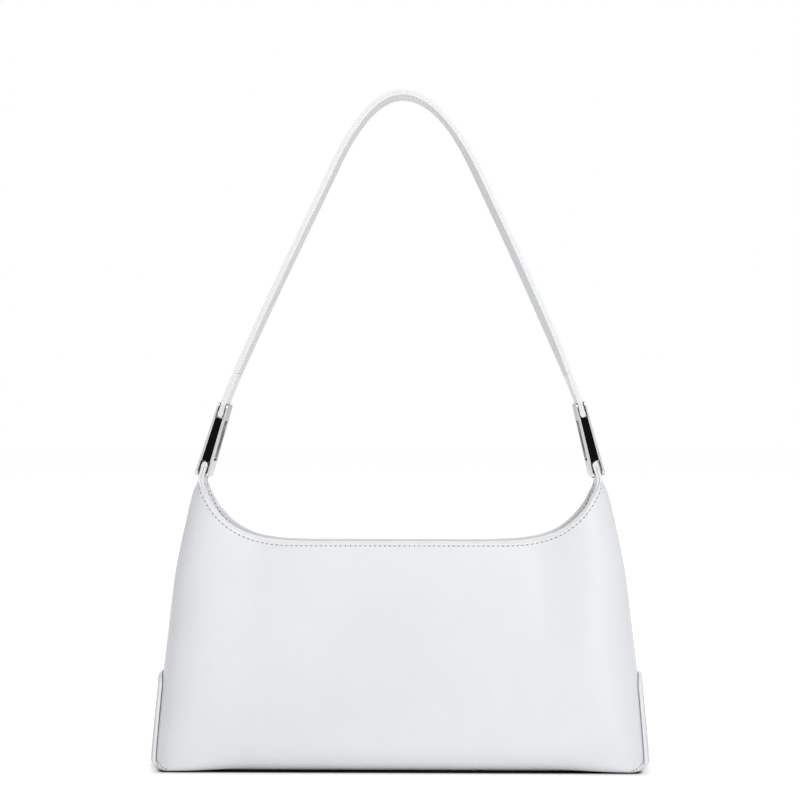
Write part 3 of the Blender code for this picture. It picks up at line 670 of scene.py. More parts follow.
class FinishGraph:
    """A material under construction, with one Principled shader."""

    def __init__(self, name: str) -> None:
        """Start the material with its shader wired to the output.

        Args:
            name: The material's name.
        """
        self.material = bpy.data.materials.new(name)
        self.material.use_nodes = True
        self.tree = self.material.node_tree
        self.tree.nodes.clear()
        self.shader = self.tree.nodes.new("ShaderNodeBsdfPrincipled")
        output = self.tree.nodes.new("ShaderNodeOutputMaterial")
        self.tree.links.new(self.shader.outputs[0], output.inputs["Surface"])

    def feed(self, socket: bpy.types.NodeSocket, value: object) -> None:
        """Set a socket to a constant, or link it to a Shade.

        Args:
            socket: The input socket.
            value: A Shade, a number or a colour.
        """
        if isinstance(value, Shade):
            self.tree.links.new(value.socket, socket)
        elif isinstance(value, tuple) and len(value) == 3 and socket.type == "RGBA":
            socket.default_value = (*value, 1.0)
        else:
            socket.default_value = value

    def node(self, kind: str, settings: dict, inputs: dict, output: int | str = 0) -> Shade:
        """Add one node.

        Args:
            kind: The node's type.
            settings: Its properties, set first; "stops" holds a ramp's places and colours.
            inputs: Values or Shades by socket name or number.
            output: The output socket that is returned.

        Returns:
            The chosen output as a Shade.
        """
        made = self.tree.nodes.new(kind)
        for key, value in settings.items():
            if key != "stops":
                setattr(made, key, value)
                continue
            ramp = made.color_ramp
            while len(ramp.elements) < len(value):
                ramp.elements.new(0.5)
            for element, (place, colour) in zip(ramp.elements, value):
                element.position = place
                element.color = (*colour, 1.0)
        for key, value in inputs.items():
            self.feed(made.inputs[key], value)
        return Shade(self, made.outputs[output])

    def place(self) -> Shade:
        """Return the Object coordinates."""
        return self.node("ShaderNodeTexCoord", {}, {}, "Object")

    def cloth(self) -> tuple[Shade, Shade]:
        """Return where a point lies on the flat cut piece, across and up, in metres."""
        return self.split(self.node("ShaderNodeUVMap", {"uv_map": "flat"}, {}, "UV"))

    def split(self, vector: Shade) -> tuple[Shade, Shade]:
        """Return a vector's first two parts."""
        across = self.node("ShaderNodeSeparateXYZ", {}, {0: vector}, 0)
        return across, Shade(self, across.socket.node.outputs[1])

    def attribute(self, name: str) -> Shade:
        """Return a value stored on the piece's points."""
        return self.node("ShaderNodeAttribute", {"attribute_name": name}, {}, "Fac")

    def noise(self, where: Shade, scale: float, detail: float = 2.0, rough: float = 0.5) -> Shade:
        """Return a soft noise value."""
        sockets = {"Vector": where, "Scale": scale, "Detail": detail, "Roughness": rough}
        return self.node("ShaderNodeTexNoise", {"noise_dimensions": "3D"}, sockets, 0)

    def cells(self, where: Shade, scale: float) -> Shade:
        """Return the distance to the nearest cell centre."""
        sockets = {"Vector": where, "Scale": scale}
        return self.node("ShaderNodeTexVoronoi", {"feature": "F1"}, sockets)

    def mix(self, share: "Shade | float", low: "Shade | Colour", high: "Shade | Colour") -> Shade:
        """Return the colour a share of the way from low to high."""
        return self.node("ShaderNodeMix", {"data_type": "RGBA"}, {0: share, 6: low, 7: high}, 2)

    def bump(self, height: Shade, distance: float, strength: float = 1.0) -> None:
        """Drive the shader's normal from a height, in metres."""
        sockets = {"Height": height, "Distance": distance, "Strength": strength}
        self.set("Normal", self.node("ShaderNodeBump", {}, sockets))

    def set(self, name: str, value: object) -> None:
        """Set or link one socket of the Principled shader."""
        self.feed(self.shader.inputs[name], value)


# Finishes


@dataclass(frozen=True)
class SmoothLeather:
    """Smooth white calf leather with a faint grain and a soft gloss."""

    name: str = "smooth_white_leather"
    colour: Colour = (0.800, 0.812, 0.835)
    shade: Colour = (0.752, 0.764, 0.790)
    paint: Colour = (0.800, 0.808, 0.824)
    roughness: float = 0.36
    grain: float = 0.000035
    coat: float = 0.08

    def make(self) -> bpy.types.Material:
        """Return the leather, a little glossier and whiter on its painted edges.

        Returns:
            The material.
        """
        g = FinishGraph(self.name)
        where = g.place()
        mottle = g.noise(where, 16.0, 3.0)
        fine = g.noise(where, 950.0, 3.0, 0.6)
        pebble = g.cells(where, 620.0)
        edge = g.attribute("edge")
        tone = ((mottle - 0.35) * 1.6 + (fine - 0.5) * 0.25).clamp()
        hide = g.mix(tone, self.shade, self.colour)
        g.set("Base Color", g.mix(edge.clamp(), hide, self.paint))
        gloss = self.roughness + (fine - 0.5) * 0.16 + (mottle - 0.5) * 0.08
        g.set("Roughness", gloss - edge * 0.06)
        creases = g.noise(where, 70.0, 2.0)
        height = (pebble * 0.9 + fine * 1.3) * (1 - edge * 0.95) + creases * 2.2
        g.bump(height, self.grain)
        g.set("Coat Weight", self.coat)
        g.set("Coat Roughness", 0.22)
        g.set("Specular IOR Level", 0.42)
        return g.material


@dataclass(frozen=True)
class Twill:
    """A plain cotton twill with fine slanting ribs."""

    name: str = "cotton_twill"
    warp: Colour = (0.620, 0.610, 0.585)
    weft: Colour = (0.730, 0.720, 0.695)
    pitch: float = 0.00075
    relief: float = 0.00006

    def make(self) -> bpy.types.Material:
        """Return the cloth with its ribs on the piece's own flat layout.

        Returns:
            The material.
        """
        g = FinishGraph(self.name)
        across, up = g.cloth()
        turns = 2 * math.pi / self.pitch
        rib = ((across + up * 1.9) * turns).maths("SINE") * 0.5 + 0.5
        thread = (across * (turns * 1.37)).maths("SINE") * 0.5 + 0.5
        slub = g.noise(g.place(), 420.0, 3.0)
        broad = g.noise(g.place(), 24.0, 2.0)
        tone = (rib * 0.55 + thread * 0.2 + (slub - 0.5) * 0.6 + (broad - 0.5) * 0.3 + 0.1).clamp()
        g.set("Base Color", g.mix(tone, self.warp, self.weft))
        g.set("Roughness", 0.82 + (slub - 0.5) * 0.2)
        g.bump(rib * 0.7 + thread * 0.3 + slub * 0.5, self.relief)
        g.set("Sheen Weight", 0.25)
        g.set("Specular IOR Level", 0.2)
        return g.material


@dataclass(frozen=True)
class BrightMetal:
    """Bright plated metal with a faint lengthwise brushing."""

    name: str = "bright_plated_metal"
    colour: Colour = (0.630, 0.625, 0.62)
    shade: Colour = (0.54, 0.535, 0.53)
    roughness: float = 0.17
    scratch: float = 0.000004
    stretch: tuple[float, float, float] = (900.0, 160.0, 900.0)

    def make(self) -> bpy.types.Material:
        """Return the metal with hairline scratches and slightly worn edges.

        Returns:
            The material.
        """
        g = FinishGraph(self.name)
        where = g.place()
        stretched = g.node("ShaderNodeMapping", {}, {"Vector": where, "Scale": self.stretch})
        hair = g.noise(stretched, 3.0, 4.0, 0.65)
        cloud = g.noise(where, 120.0, 2.0)
        g.set("Base Color", g.mix(((hair - 0.3) * 1.4).clamp(), self.shade, self.colour))
        g.set("Metallic", 1.0)
        g.set("Specular Tint", (0.62, 0.62, 0.63, 1.0))
        g.set("Roughness", (self.roughness + (hair - 0.5) * 0.10 + (cloud - 0.5) * 0.06).clamp())
        g.bump(hair, self.scratch)
        return g.material


@dataclass(frozen=True)
class Speckled:
    """A dull or glossy finish with one fine noise in its colour, gloss and relief."""

    name: str
    low: Colour
    high: Colour
    scale: float
    relief: float
    roughness: float
    swing: float
    detail: float = 2.0
    rough: float = 0.5
    start: float = 0.0
    gain: float = 1.0
    dent_scale: float = 0.0
    sheen: float = 0.0
    specular: float = 0.5

    def make(self) -> bpy.types.Material:
        """Return the finish, its relief from a broader noise where dent_scale says so.

        Returns:
            The material.
        """
        g = FinishGraph(self.name)
        where = g.place()
        speck = g.noise(where, self.scale, self.detail, self.rough)
        g.set("Base Color", g.mix(((speck - self.start) * self.gain).clamp(), self.low, self.high))
        g.set("Roughness", (self.roughness + (speck - 0.5) * self.swing).clamp())
        g.bump(g.noise(where, self.dent_scale, 2.0) if self.dent_scale else speck, self.relief)
        g.set("Sheen Weight", self.sheen)
        g.set("Specular IOR Level", self.specular)
        return g.material


# painted shade: near-black finish on the links' cores and the cheeks' inner faces, for the dark gap
# between the cheeks
BLACK_GAP_SHADE = Speckled(
    "gloss_black_enamel", (0.0028, 0.0026, 0.0028), (0.0070, 0.0066, 0.0070), 700.0, 0.000012, 0.12,
    0.10, 4.0, 0.7, 0.55, 3.0, dent_scale=130.0, specular=0.04,
)
SEWING_THREAD = Speckled(
    "sewing_thread", (0.60, 0.60, 0.61), (0.80, 0.80, 0.80), 2600.0, 0.00003, 0.55, 0.2,
    start=0.3, gain=2.0, sheen=0.15,
)
# painted shade: dark discs that stand for the shade inside the needle holes
NEEDLE_HOLE_SHADE = Speckled(
    "needle_hole", (0.070, 0.068, 0.068), (0.130, 0.127, 0.126), 1800.0, 0.00002, 0.85, 0.1,
)
PRESSED_BOARD = Speckled(
    "pressed_board", (0.31, 0.30, 0.28), (0.44, 0.42, 0.39), 480.0, 0.00008, 0.86, 0.12, 5.0, 0.7,
    0.35, 2.2,
)


def made_from(finish: "SmoothLeather | Twill | BrightMetal | Speckled") -> bpy.types.Material:
    """Return the field of a material that is made when its set is."""
    return field(default_factory=finish.make)


@dataclass
class FinishSet:
    """Every finish of the bag, made once."""

    leather: bpy.types.Material = made_from(SmoothLeather())
    # painted light: the facing is the same white leather made lighter, to offset the shade inside
    # the mouth
    facing: bpy.types.Material = made_from(
        SmoothLeather(
            "facing_leather_finish", (0.885, 0.892, 0.905), (0.855, 0.862, 0.876),
            (0.845, 0.852, 0.868), 0.44, 0.00002, 0.03,
        )
    )
    # painted shade: the strap's inner leather is the same leather made greyer, for the shade on its
    # underside
    strap_lining: bpy.types.Material = made_from(
        SmoothLeather(
            "strap_lining_leather", (0.735, 0.745, 0.765), (0.700, 0.710, 0.730),
            roughness=0.42, grain=0.00002,
        )
    )
    lining: bpy.types.Material = made_from(Twill())
    chrome: bpy.types.Material = made_from(BrightMetal())
    steel: bpy.types.Material = made_from(
        BrightMetal("plain_steel_finish", (0.50, 0.50, 0.51), (0.40, 0.40, 0.41), 0.32)
    )
    # enamel: near-black, painted shade for the dark gap inside the links
    enamel: bpy.types.Material = made_from(BLACK_GAP_SHADE)
    thread: bpy.types.Material = made_from(SEWING_THREAD)
    # hole: dark discs of painted shade at the needle holes
    hole: bpy.types.Material = made_from(NEEDLE_HOLE_SHADE)
    board: bpy.types.Material = made_from(PRESSED_BOARD)


# Mesh building


def add_piece(name: str, mesh: bpy.types.Mesh, *materials: bpy.types.Material) -> bpy.types.Object:
    """Link a mesh with its finishes into the scene as a piece at the origin.

    Args:
        name: The piece's name.
        mesh: The mesh.
        materials: Its finishes, in the order of its slots.

    Returns:
        The piece.
    """
    for material in materials:
        mesh.materials.append(material)
    piece = bpy.data.objects.new(name, mesh)
    bpy.context.scene.collection.objects.link(piece)
    return piece


def tidy_mesh(mesh: bpy.types.Mesh, sharp: float = 40.0, merge: float = 2e-6) -> None:
    """Merge doubled points, turn the faces outwards and shade the mesh smooth.

    Args:
        mesh: The mesh.
        sharp: The angle above which an edge stays sharp, in degrees.
        merge: How near points are merged.
    """
    work = bmesh.new()
    work.from_mesh(mesh)
    bmesh.ops.remove_doubles(work, verts=work.verts, dist=merge)
    bmesh.ops.dissolve_degenerate(work, dist=merge / 2, edges=work.edges)
    bmesh.ops.recalc_face_normals(work, faces=work.faces)
    work.to_mesh(mesh)
    work.free()
    mesh.shade_smooth()
    mesh.set_sharp_from_angle(angle=math.radians(sharp))


def mesh_of(
    name: str,
    points: Points,
    faces: Sequence[Sequence[int]],
    edge: Points | None = None,
    flat: Points | None = None,
) -> bpy.types.Mesh:
    """Return a tidy closed mesh.

    Args:
        name: The mesh's name.
        points: Its points.
        faces: Its faces, as point numbers.
        edge: How far each point belongs to a painted edge, from 0 to 1.
        flat: Each point's place on the flat cut piece, in metres.

    Returns:
        The mesh, with an "edge" attribute and a "flat" UV map where they are given.
    """
    mesh = bpy.data.meshes.new(name)
    mesh.from_pydata([tuple(p) for p in points], [], [list(f) for f in faces])
    if edge is not None:
        values = mesh.attributes.new("edge", "FLOAT", "POINT").data
        values.foreach_set("value", edge.astype(np.float32))
    if flat is not None:
        loops = np.zeros(len(mesh.loops), np.int32)
        mesh.loops.foreach_get("vertex_index", loops)
        layer = mesh.uv_layers.new(name="flat")
        layer.data.foreach_set("uv", flat[loops].astype(np.float32).ravel())
    tidy_mesh(mesh)
    return mesh


def grid_faces(rows: int, columns: int, start: int = 0, turn: bool = False) -> list[list[int]]:
    """Return the quads of a grid of points.

    Args:
        rows: The grid's rows.
        columns: The grid's columns.
        start: The number of its first point.
        turn: Whether the quads face the other way.

    Returns:
        The quads, as point numbers.
    """
    corners = (0, 1, columns + 1, columns)
    quads = (
        [start + row * columns + column + corner for corner in corners]
        for row in range(rows - 1)
        for column in range(columns - 1)
    )
    return [quad[::-1] if turn else quad for quad in quads]


def closed_sheet(
    name: str, outer: Points, inner: Points, edge: Points | None = None, flat: Points | None = None
) -> bpy.types.Mesh:
    """Return a closed mesh between two grids; borders that touch are merged.

    Args:
        name: The mesh's name.
        outer: The outer grid, rows by columns by 3.
        inner: The inner grid, of the same size.
        edge: Edge values of the outer grid, used for the inner one too.
        flat: Flat places of the outer grid, used for the inner one too.

    Returns:
        The closed mesh.
    """
    rows, columns = outer.shape[:2]
    shift = rows * columns
    faces = grid_faces(rows, columns) + grid_faces(rows, columns, shift, True)
    numbers = np.arange(shift).reshape(rows, columns)
    sides = (numbers[0], numbers[1:, -1], numbers[-1, -2::-1], numbers[-2:0:-1, 0])
    border = np.concatenate(sides).tolist()
    for a, b in zip(border, border[1:] + border[:1]):
        faces.append([b, a, a + shift, b + shift])
    points = np.concatenate([outer.reshape(-1, 3), inner.reshape(-1, 3)])
    edges = None if edge is None else np.tile(edge.ravel(), 2)
    flats = None if flat is None else np.tile(flat.reshape(-1, 2), (2, 1))
    return mesh_of(name, points, faces, edges, flats)


def ring_mesh(name: str, rings: Points, edge: Points | None = None) -> bpy.types.Mesh:
    """Return a mesh skinned over equal closed rings of points, with both ends closed.

    Args:
        name: The mesh's name.
        rings: The rings' points, rings by points by 3.
        edge: How far each point belongs to a painted edge.

    Returns:
        The closed mesh.
    """
    levels, count = rings.shape[:2]
    faces = [list(range(count))[::-1], [(levels - 1) * count + n for n in range(count)]]
    for level in range(levels - 1):
        a = level * count
        for n in range(count):
            after = (n + 1) % count
            faces.append([a + n, a + after, a + count + after, a + count + n])
    edges = None if edge is None else edge.ravel()
    return mesh_of(name, rings.reshape(-1, 3), faces, edges)


def turned_mesh(
    name: str, profile: Sequence[tuple[float, float]], place: Matrix, steps: int
) -> bpy.types.Mesh:
    """Return a mesh turned round an axis from (radius, height) points.

    Args:
        name: The mesh's name.
        profile: The (radius, height) points.
        place: The frame whose Z axis is the axis.
        steps: Points in each turn.

    Returns:
        The closed mesh.
    """
    turns = np.linspace(0, 2 * math.pi, steps, endpoint=False)
    radius, height = np.array(profile, float).T[..., None]
    radius = np.maximum(radius, 1e-5)
    return ring_mesh(name, in_frame(place, radius * np.cos(turns), radius * np.sin(turns), height))


def rounded_outline(
    points: Sequence[tuple[float, float]], radii: Sequence[float], steps: int
) -> Points:
    """Return a closed outline with each corner turned into an arc.

    Args:
        points: The corners, in order.
        radii: The radius at each corner, held to what its sides leave room for.
        steps: Points on each arc.

    Returns:
        The rounded outline's points.
    """
    corners = np.array(points, float)
    made = []
    for n, corner in enumerate(corners):
        before, after = corners[n - 1], corners[(n + 1) % len(corners)]
        a, b = before - corner, after - corner
        la, lb = np.linalg.norm(a), np.linalg.norm(b)
        a, b = a / la, b / lb
        half = math.acos(float(np.clip(a @ b, -1, 1))) / 2
        reach = min(radii[n] / max(math.tan(half), 1e-6), 0.48 * la, 0.48 * lb)
        start, end = corner + a * reach, corner + b * reach
        for step in np.linspace(0, 1, steps):
            made.append((1 - step) ** 2 * start + 2 * step * (1 - step) * corner + step**2 * end)
    return np.array(made)


def moved_corners(
    points: Sequence[tuple[float, float]], radii: Sequence[float], distance: float
) -> tuple[Points, list[float]]:
    """Move an outline's corners inwards and fit their radii, so that no arc crosses itself.

    Args:
        points: The corners, in order.
        radii: The radius at each corner.
        distance: How far every side moves in.

    Returns:
        The moved corners and their radii.
    """
    corners = np.array(points, float)
    before, after = unit(corners - np.roll(corners, 1, 0)), unit(np.roll(corners, -1, 0) - corners)
    following = np.roll(corners, -1, 0)
    area = np.sum(corners[:, 0] * following[:, 1] - following[:, 0] * corners[:, 1])
    sign = 1 if area > 0 else -1
    first, second = (np.stack([-side[:, 1], side[:, 0]], -1) * sign for side in (before, after))
    shift = (first + second) / (1 + np.sum(first * second, -1, keepdims=True))
    turn = (before[:, 0] * after[:, 1] - before[:, 1] * after[:, 0]) * sign
    fitted = [
        max(radius - distance, SMALLEST_RADIUS) if bend > 0 else radius + distance
        for radius, bend in zip(radii, turn)
    ]
    return corners + shift * distance, fitted


def inset_outline(outline: Points, distance: float) -> Points:
    """Return a closed outline moved inwards by a distance.

    Args:
        outline: The outline's points.
        distance: How far it moves in.

    Returns:
        The moved points.
    """
    after, before = np.roll(outline, -1, 0), np.roll(outline, 1, 0)
    along = unit(after - before)
    area = np.sum(outline[:, 0] * after[:, 1] - after[:, 0] * outline[:, 1])
    inward = np.stack([-along[:, 1], along[:, 0]], -1) * (1 if area > 0 else -1)
    return outline + inward * distance


def bake_modifiers(piece: bpy.types.Object) -> None:
    """Turn a piece's modifiers into plain mesh.

    Args:
        piece: The piece.
    """
    graph = bpy.context.evaluated_depsgraph_get()
    mesh = bpy.data.meshes.new_from_object(piece.evaluated_get(graph), depsgraph=graph)
    piece.modifiers.clear()
    piece.data = mesh


# Stitching


class StitchRow:
    """Geometry Nodes that sew a row of stitches along a line."""

    def __init__(self, finishes: FinishSet) -> None:
        """Build the tree once for every row.

        Args:
            finishes: The set that holds the thread's finish.
        """
        self.finishes = finishes
        self.tree = bpy.data.node_groups.new("stitch_row", "GeometryNodeTree")
        self.tree.is_modifier = True
        face = self.tree.interface
        face.new_socket(name="Line", in_out="INPUT", socket_type="NodeSocketGeometry")
        for name, value in (
            ("Pitch", 0.0028),
            ("Stitch Length", 0.0021),
            ("Thread Radius", 0.00022),
            ("Hole Radius", 0.00040),
            ("Sink", 0.00022),
            ("Rise", 0.00022),
        ):
            socket = face.new_socket(name=name, in_out="INPUT", socket_type="NodeSocketFloat")
            socket.default_value = value
        seed = face.new_socket(name="Seed", in_out="INPUT", socket_type="NodeSocketInt")
        seed.default_value = 7
        for name in ("Thread", "Hole"):
            face.new_socket(name=name, in_out="INPUT", socket_type="NodeSocketMaterial")
        face.new_socket(name="Stitches", in_out="OUTPUT", socket_type="NodeSocketGeometry")
        self._wire()

    def _add(self, kind: str, settings: dict, inputs: dict) -> bpy.types.NodeSocket:
        """Add a node with its properties, values and links, and return its first output.

        Args:
            kind: The node's type.
            settings: Its properties.
            inputs: Values or sockets by input name or number.

        Returns:
            The node's first output.
        """
        made = self.tree.nodes.new(kind)
        for key, value in settings.items():
            setattr(made, key, value)
        for key, value in inputs.items():
            if isinstance(value, bpy.types.NodeSocket):
                self.tree.links.new(value, made.inputs[key])
            else:
                made.inputs[key].default_value = value
        return made.outputs[0]

    def _times(self, first: bpy.types.NodeSocket, second: float) -> bpy.types.NodeSocket:
        """Return a value times a number."""
        return self._add("ShaderNodeMath", {"operation": "MULTIPLY"}, {0: first, 1: second})

    def _vector(self, x: object, y: object, z: object) -> bpy.types.NodeSocket:
        """Return a vector made of three values."""
        return self._add("ShaderNodeCombineXYZ", {}, {0: x, 1: y, 2: z})

    def _moved(self, geometry: bpy.types.NodeSocket, *place: object) -> bpy.types.NodeSocket:
        """Return geometry moved to a place."""
        inputs = {"Geometry": geometry, "Translation": self._vector(*place)}
        return self._add("GeometryNodeTransform", {}, inputs)

    def _flagged(self, geometry: bpy.types.NodeSocket, flag: bool) -> bpy.types.NodeSocket:
        """Return geometry that carries whether it is a needle hole.

        Args:
            geometry: The geometry.
            flag: Whether it is a needle hole.

        Returns:
            The marked geometry.
        """
        settings = {"data_type": "BOOLEAN", "domain": "FACE"}
        inputs = {"Geometry": geometry, "Name": "is_hole", "Value": flag}
        return self._add("GeometryNodeStoreNamedAttribute", settings, inputs)

    def _stitch(self, given: bpy.types.bpy_prop_collection) -> bpy.types.NodeSocket:
        """Return one stitch and the needle hole's painted-shade disc before it, lying along X.

        Args:
            given: The tree's inputs.

        Returns:
            The geometry of one stitch.
        """
        half, sink = self._times(given["Stitch Length"], 0.5), self._times(given["Sink"], -1.0)
        ends = {
            "Resolution": 6,
            "Start": self._vector(self._times(half, -1.0), 0.0, sink),
            "Middle": self._vector(0.0, 0.0, self._times(given["Rise"], 2.0)),
            "End": self._vector(half, 0.0, sink),
        }
        bow = self._add("GeometryNodeCurveQuadraticBezier", {}, ends)
        sizes = {"Resolution": 6, "Radius": given["Thread Radius"]}
        section = self._add("GeometryNodeCurvePrimitiveCircle", {"mode": "RADIUS"}, sizes)
        sweep = {0: bow, 1: section, "Fill Caps": True}
        thread = self._add("GeometryNodeCurveToMesh", {}, sweep)
        # painted shade: a flat dark disc just above the leather for the shaded needle hole
        sizes = {"Vertices": 8, "Radius": given["Hole Radius"]}
        disc = self._add("GeometryNodeMeshCircle", {"fill_type": "NGON"}, sizes)
        hole = self._moved(disc, 0.0, 0.0, HOLE_LIFT)
        thread = self._moved(thread, self._times(given["Pitch"], 0.5), 0.0, 0.0)
        joined = self.tree.nodes.new("GeometryNodeJoinGeometry")
        for part in (self._flagged(thread, False), self._flagged(hole, True)):
            self.tree.links.new(part, joined.inputs[0])
        return joined.outputs[0]

    def _wire(self) -> None:
        """Wire the tree: one stitch, set along the line, made real and given its finishes."""
        given = self.tree.nodes.new("NodeGroupInput").outputs
        stitch = self._stitch(given)
        line = self._add("GeometryNodeMeshToCurve", {}, {0: given["Line"]})
        inputs = {"Curve": line, "Length": given["Pitch"]}
        spaced = self._add("GeometryNodeResampleCurve", {"mode": "LENGTH"}, inputs)
        along = self._add("GeometryNodeInputTangent", {}, {})
        named = "GeometryNodeInputNamedAttribute"
        outward = self._add(named, {"data_type": "FLOAT_VECTOR"}, {"Name": "outward"})
        axes = {"primary_axis": "Z", "secondary_axis": "X"}
        turn = self._add("FunctionNodeAxesToRotation", axes, {0: outward, 1: along})
        spread = {"Min": (0.94, 0.9, 0.9), "Max": (1.03, 1.1, 1.1), "Seed": given["Seed"]}
        jitter = self._add("FunctionNodeRandomValue", {"data_type": "FLOAT_VECTOR"}, spread)
        inputs = {"Points": spaced, "Instance": stitch, "Rotation": turn, "Scale": jitter}
        placed = self._add("GeometryNodeInstanceOnPoints", {}, inputs)
        made = self._add("GeometryNodeRealizeInstances", {}, {0: placed})
        flag = self._add(named, {"data_type": "BOOLEAN"}, {"Name": "is_hole"})
        for where, finish in ((True, given["Thread"]), (flag, given["Hole"])):
            inputs = {"Geometry": made, "Selection": where, "Material": finish}
            made = self._add("GeometryNodeSetMaterial", {}, inputs)
        result = self.tree.nodes.new("NodeGroupOutput")
        self.tree.links.new(made, result.inputs[0])

    def sew(
        self, name: str, lines: Sequence[tuple[Points, Points]], **sizes: float
    ) -> bpy.types.Object:
        """Return a plain mesh of stitches.

        Args:
            name: The piece's name.
            lines: Pairs of points and outward directions, one pair for each row.
            sizes: Sizes by input name, with underscores for spaces.

        Returns:
            The piece, with no modifier left on it.
        """
        points, edges, directions = [], [], []
        for line, outward in lines:
            start = len(points)
            points += [tuple(p) for p in line]
            directions += [tuple(d) for d in outward]
            edges += [(start + n, start + n + 1) for n in range(len(line) - 1)]
        mesh = bpy.data.meshes.new(f"{name}_line")
        mesh.from_pydata(points, edges, [])
        values = np.array(directions, np.float32).ravel()
        mesh.attributes.new("outward", "FLOAT_VECTOR", "POINT").data.foreach_set("vector", values)
        guide = bpy.data.objects.new(f"{name}_guide", mesh)
        bpy.context.scene.collection.objects.link(guide)
        modifier = guide.modifiers.new("stitches", "NODES")
        modifier.node_group = self.tree
        wanted = {key.replace("_", " "): value for key, value in sizes.items()}
        wanted |= {"Thread": self.finishes.thread, "Hole": self.finishes.hole}
        for item in self.tree.interface.items_tree:
            if item.in_out == "INPUT" and item.name in wanted:
                modifier[item.identifier] = wanted[item.name]
        graph = bpy.context.evaluated_depsgraph_get()
        made = bpy.data.meshes.new_from_object(guide.evaluated_get(graph), depsgraph=graph)
        made.name = name
        bpy.data.objects.remove(guide)
        made.shade_smooth()
        return add_piece(name, made)


# The body's leather, facings, lining and base

Row = tuple[Points, Points, Points, Points, float]


@dataclass
class Workshop:
    """What every sub-assembly is made with."""

    body: BodyForm
    link: LinkForm
    finishes: FinishSet
    stitches: StitchRow
    flex: tuple[float, float] = (0.146, 0.168)

    def flexes(self, piece: bpy.types.Object, slot: Slot) -> bpy.types.Object:
        """Bake a piece's place into its mesh and return it; nothing makes it bend.

        Args:
            piece: The piece.
            slot: Not used.

        Returns:
            The same piece.
        """
        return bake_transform(piece)

    def rides(self, piece: bpy.types.Object, body: str, slot: Slot) -> bpy.types.Object:
        """Let a piece ride on one body."""
        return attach(piece, body)


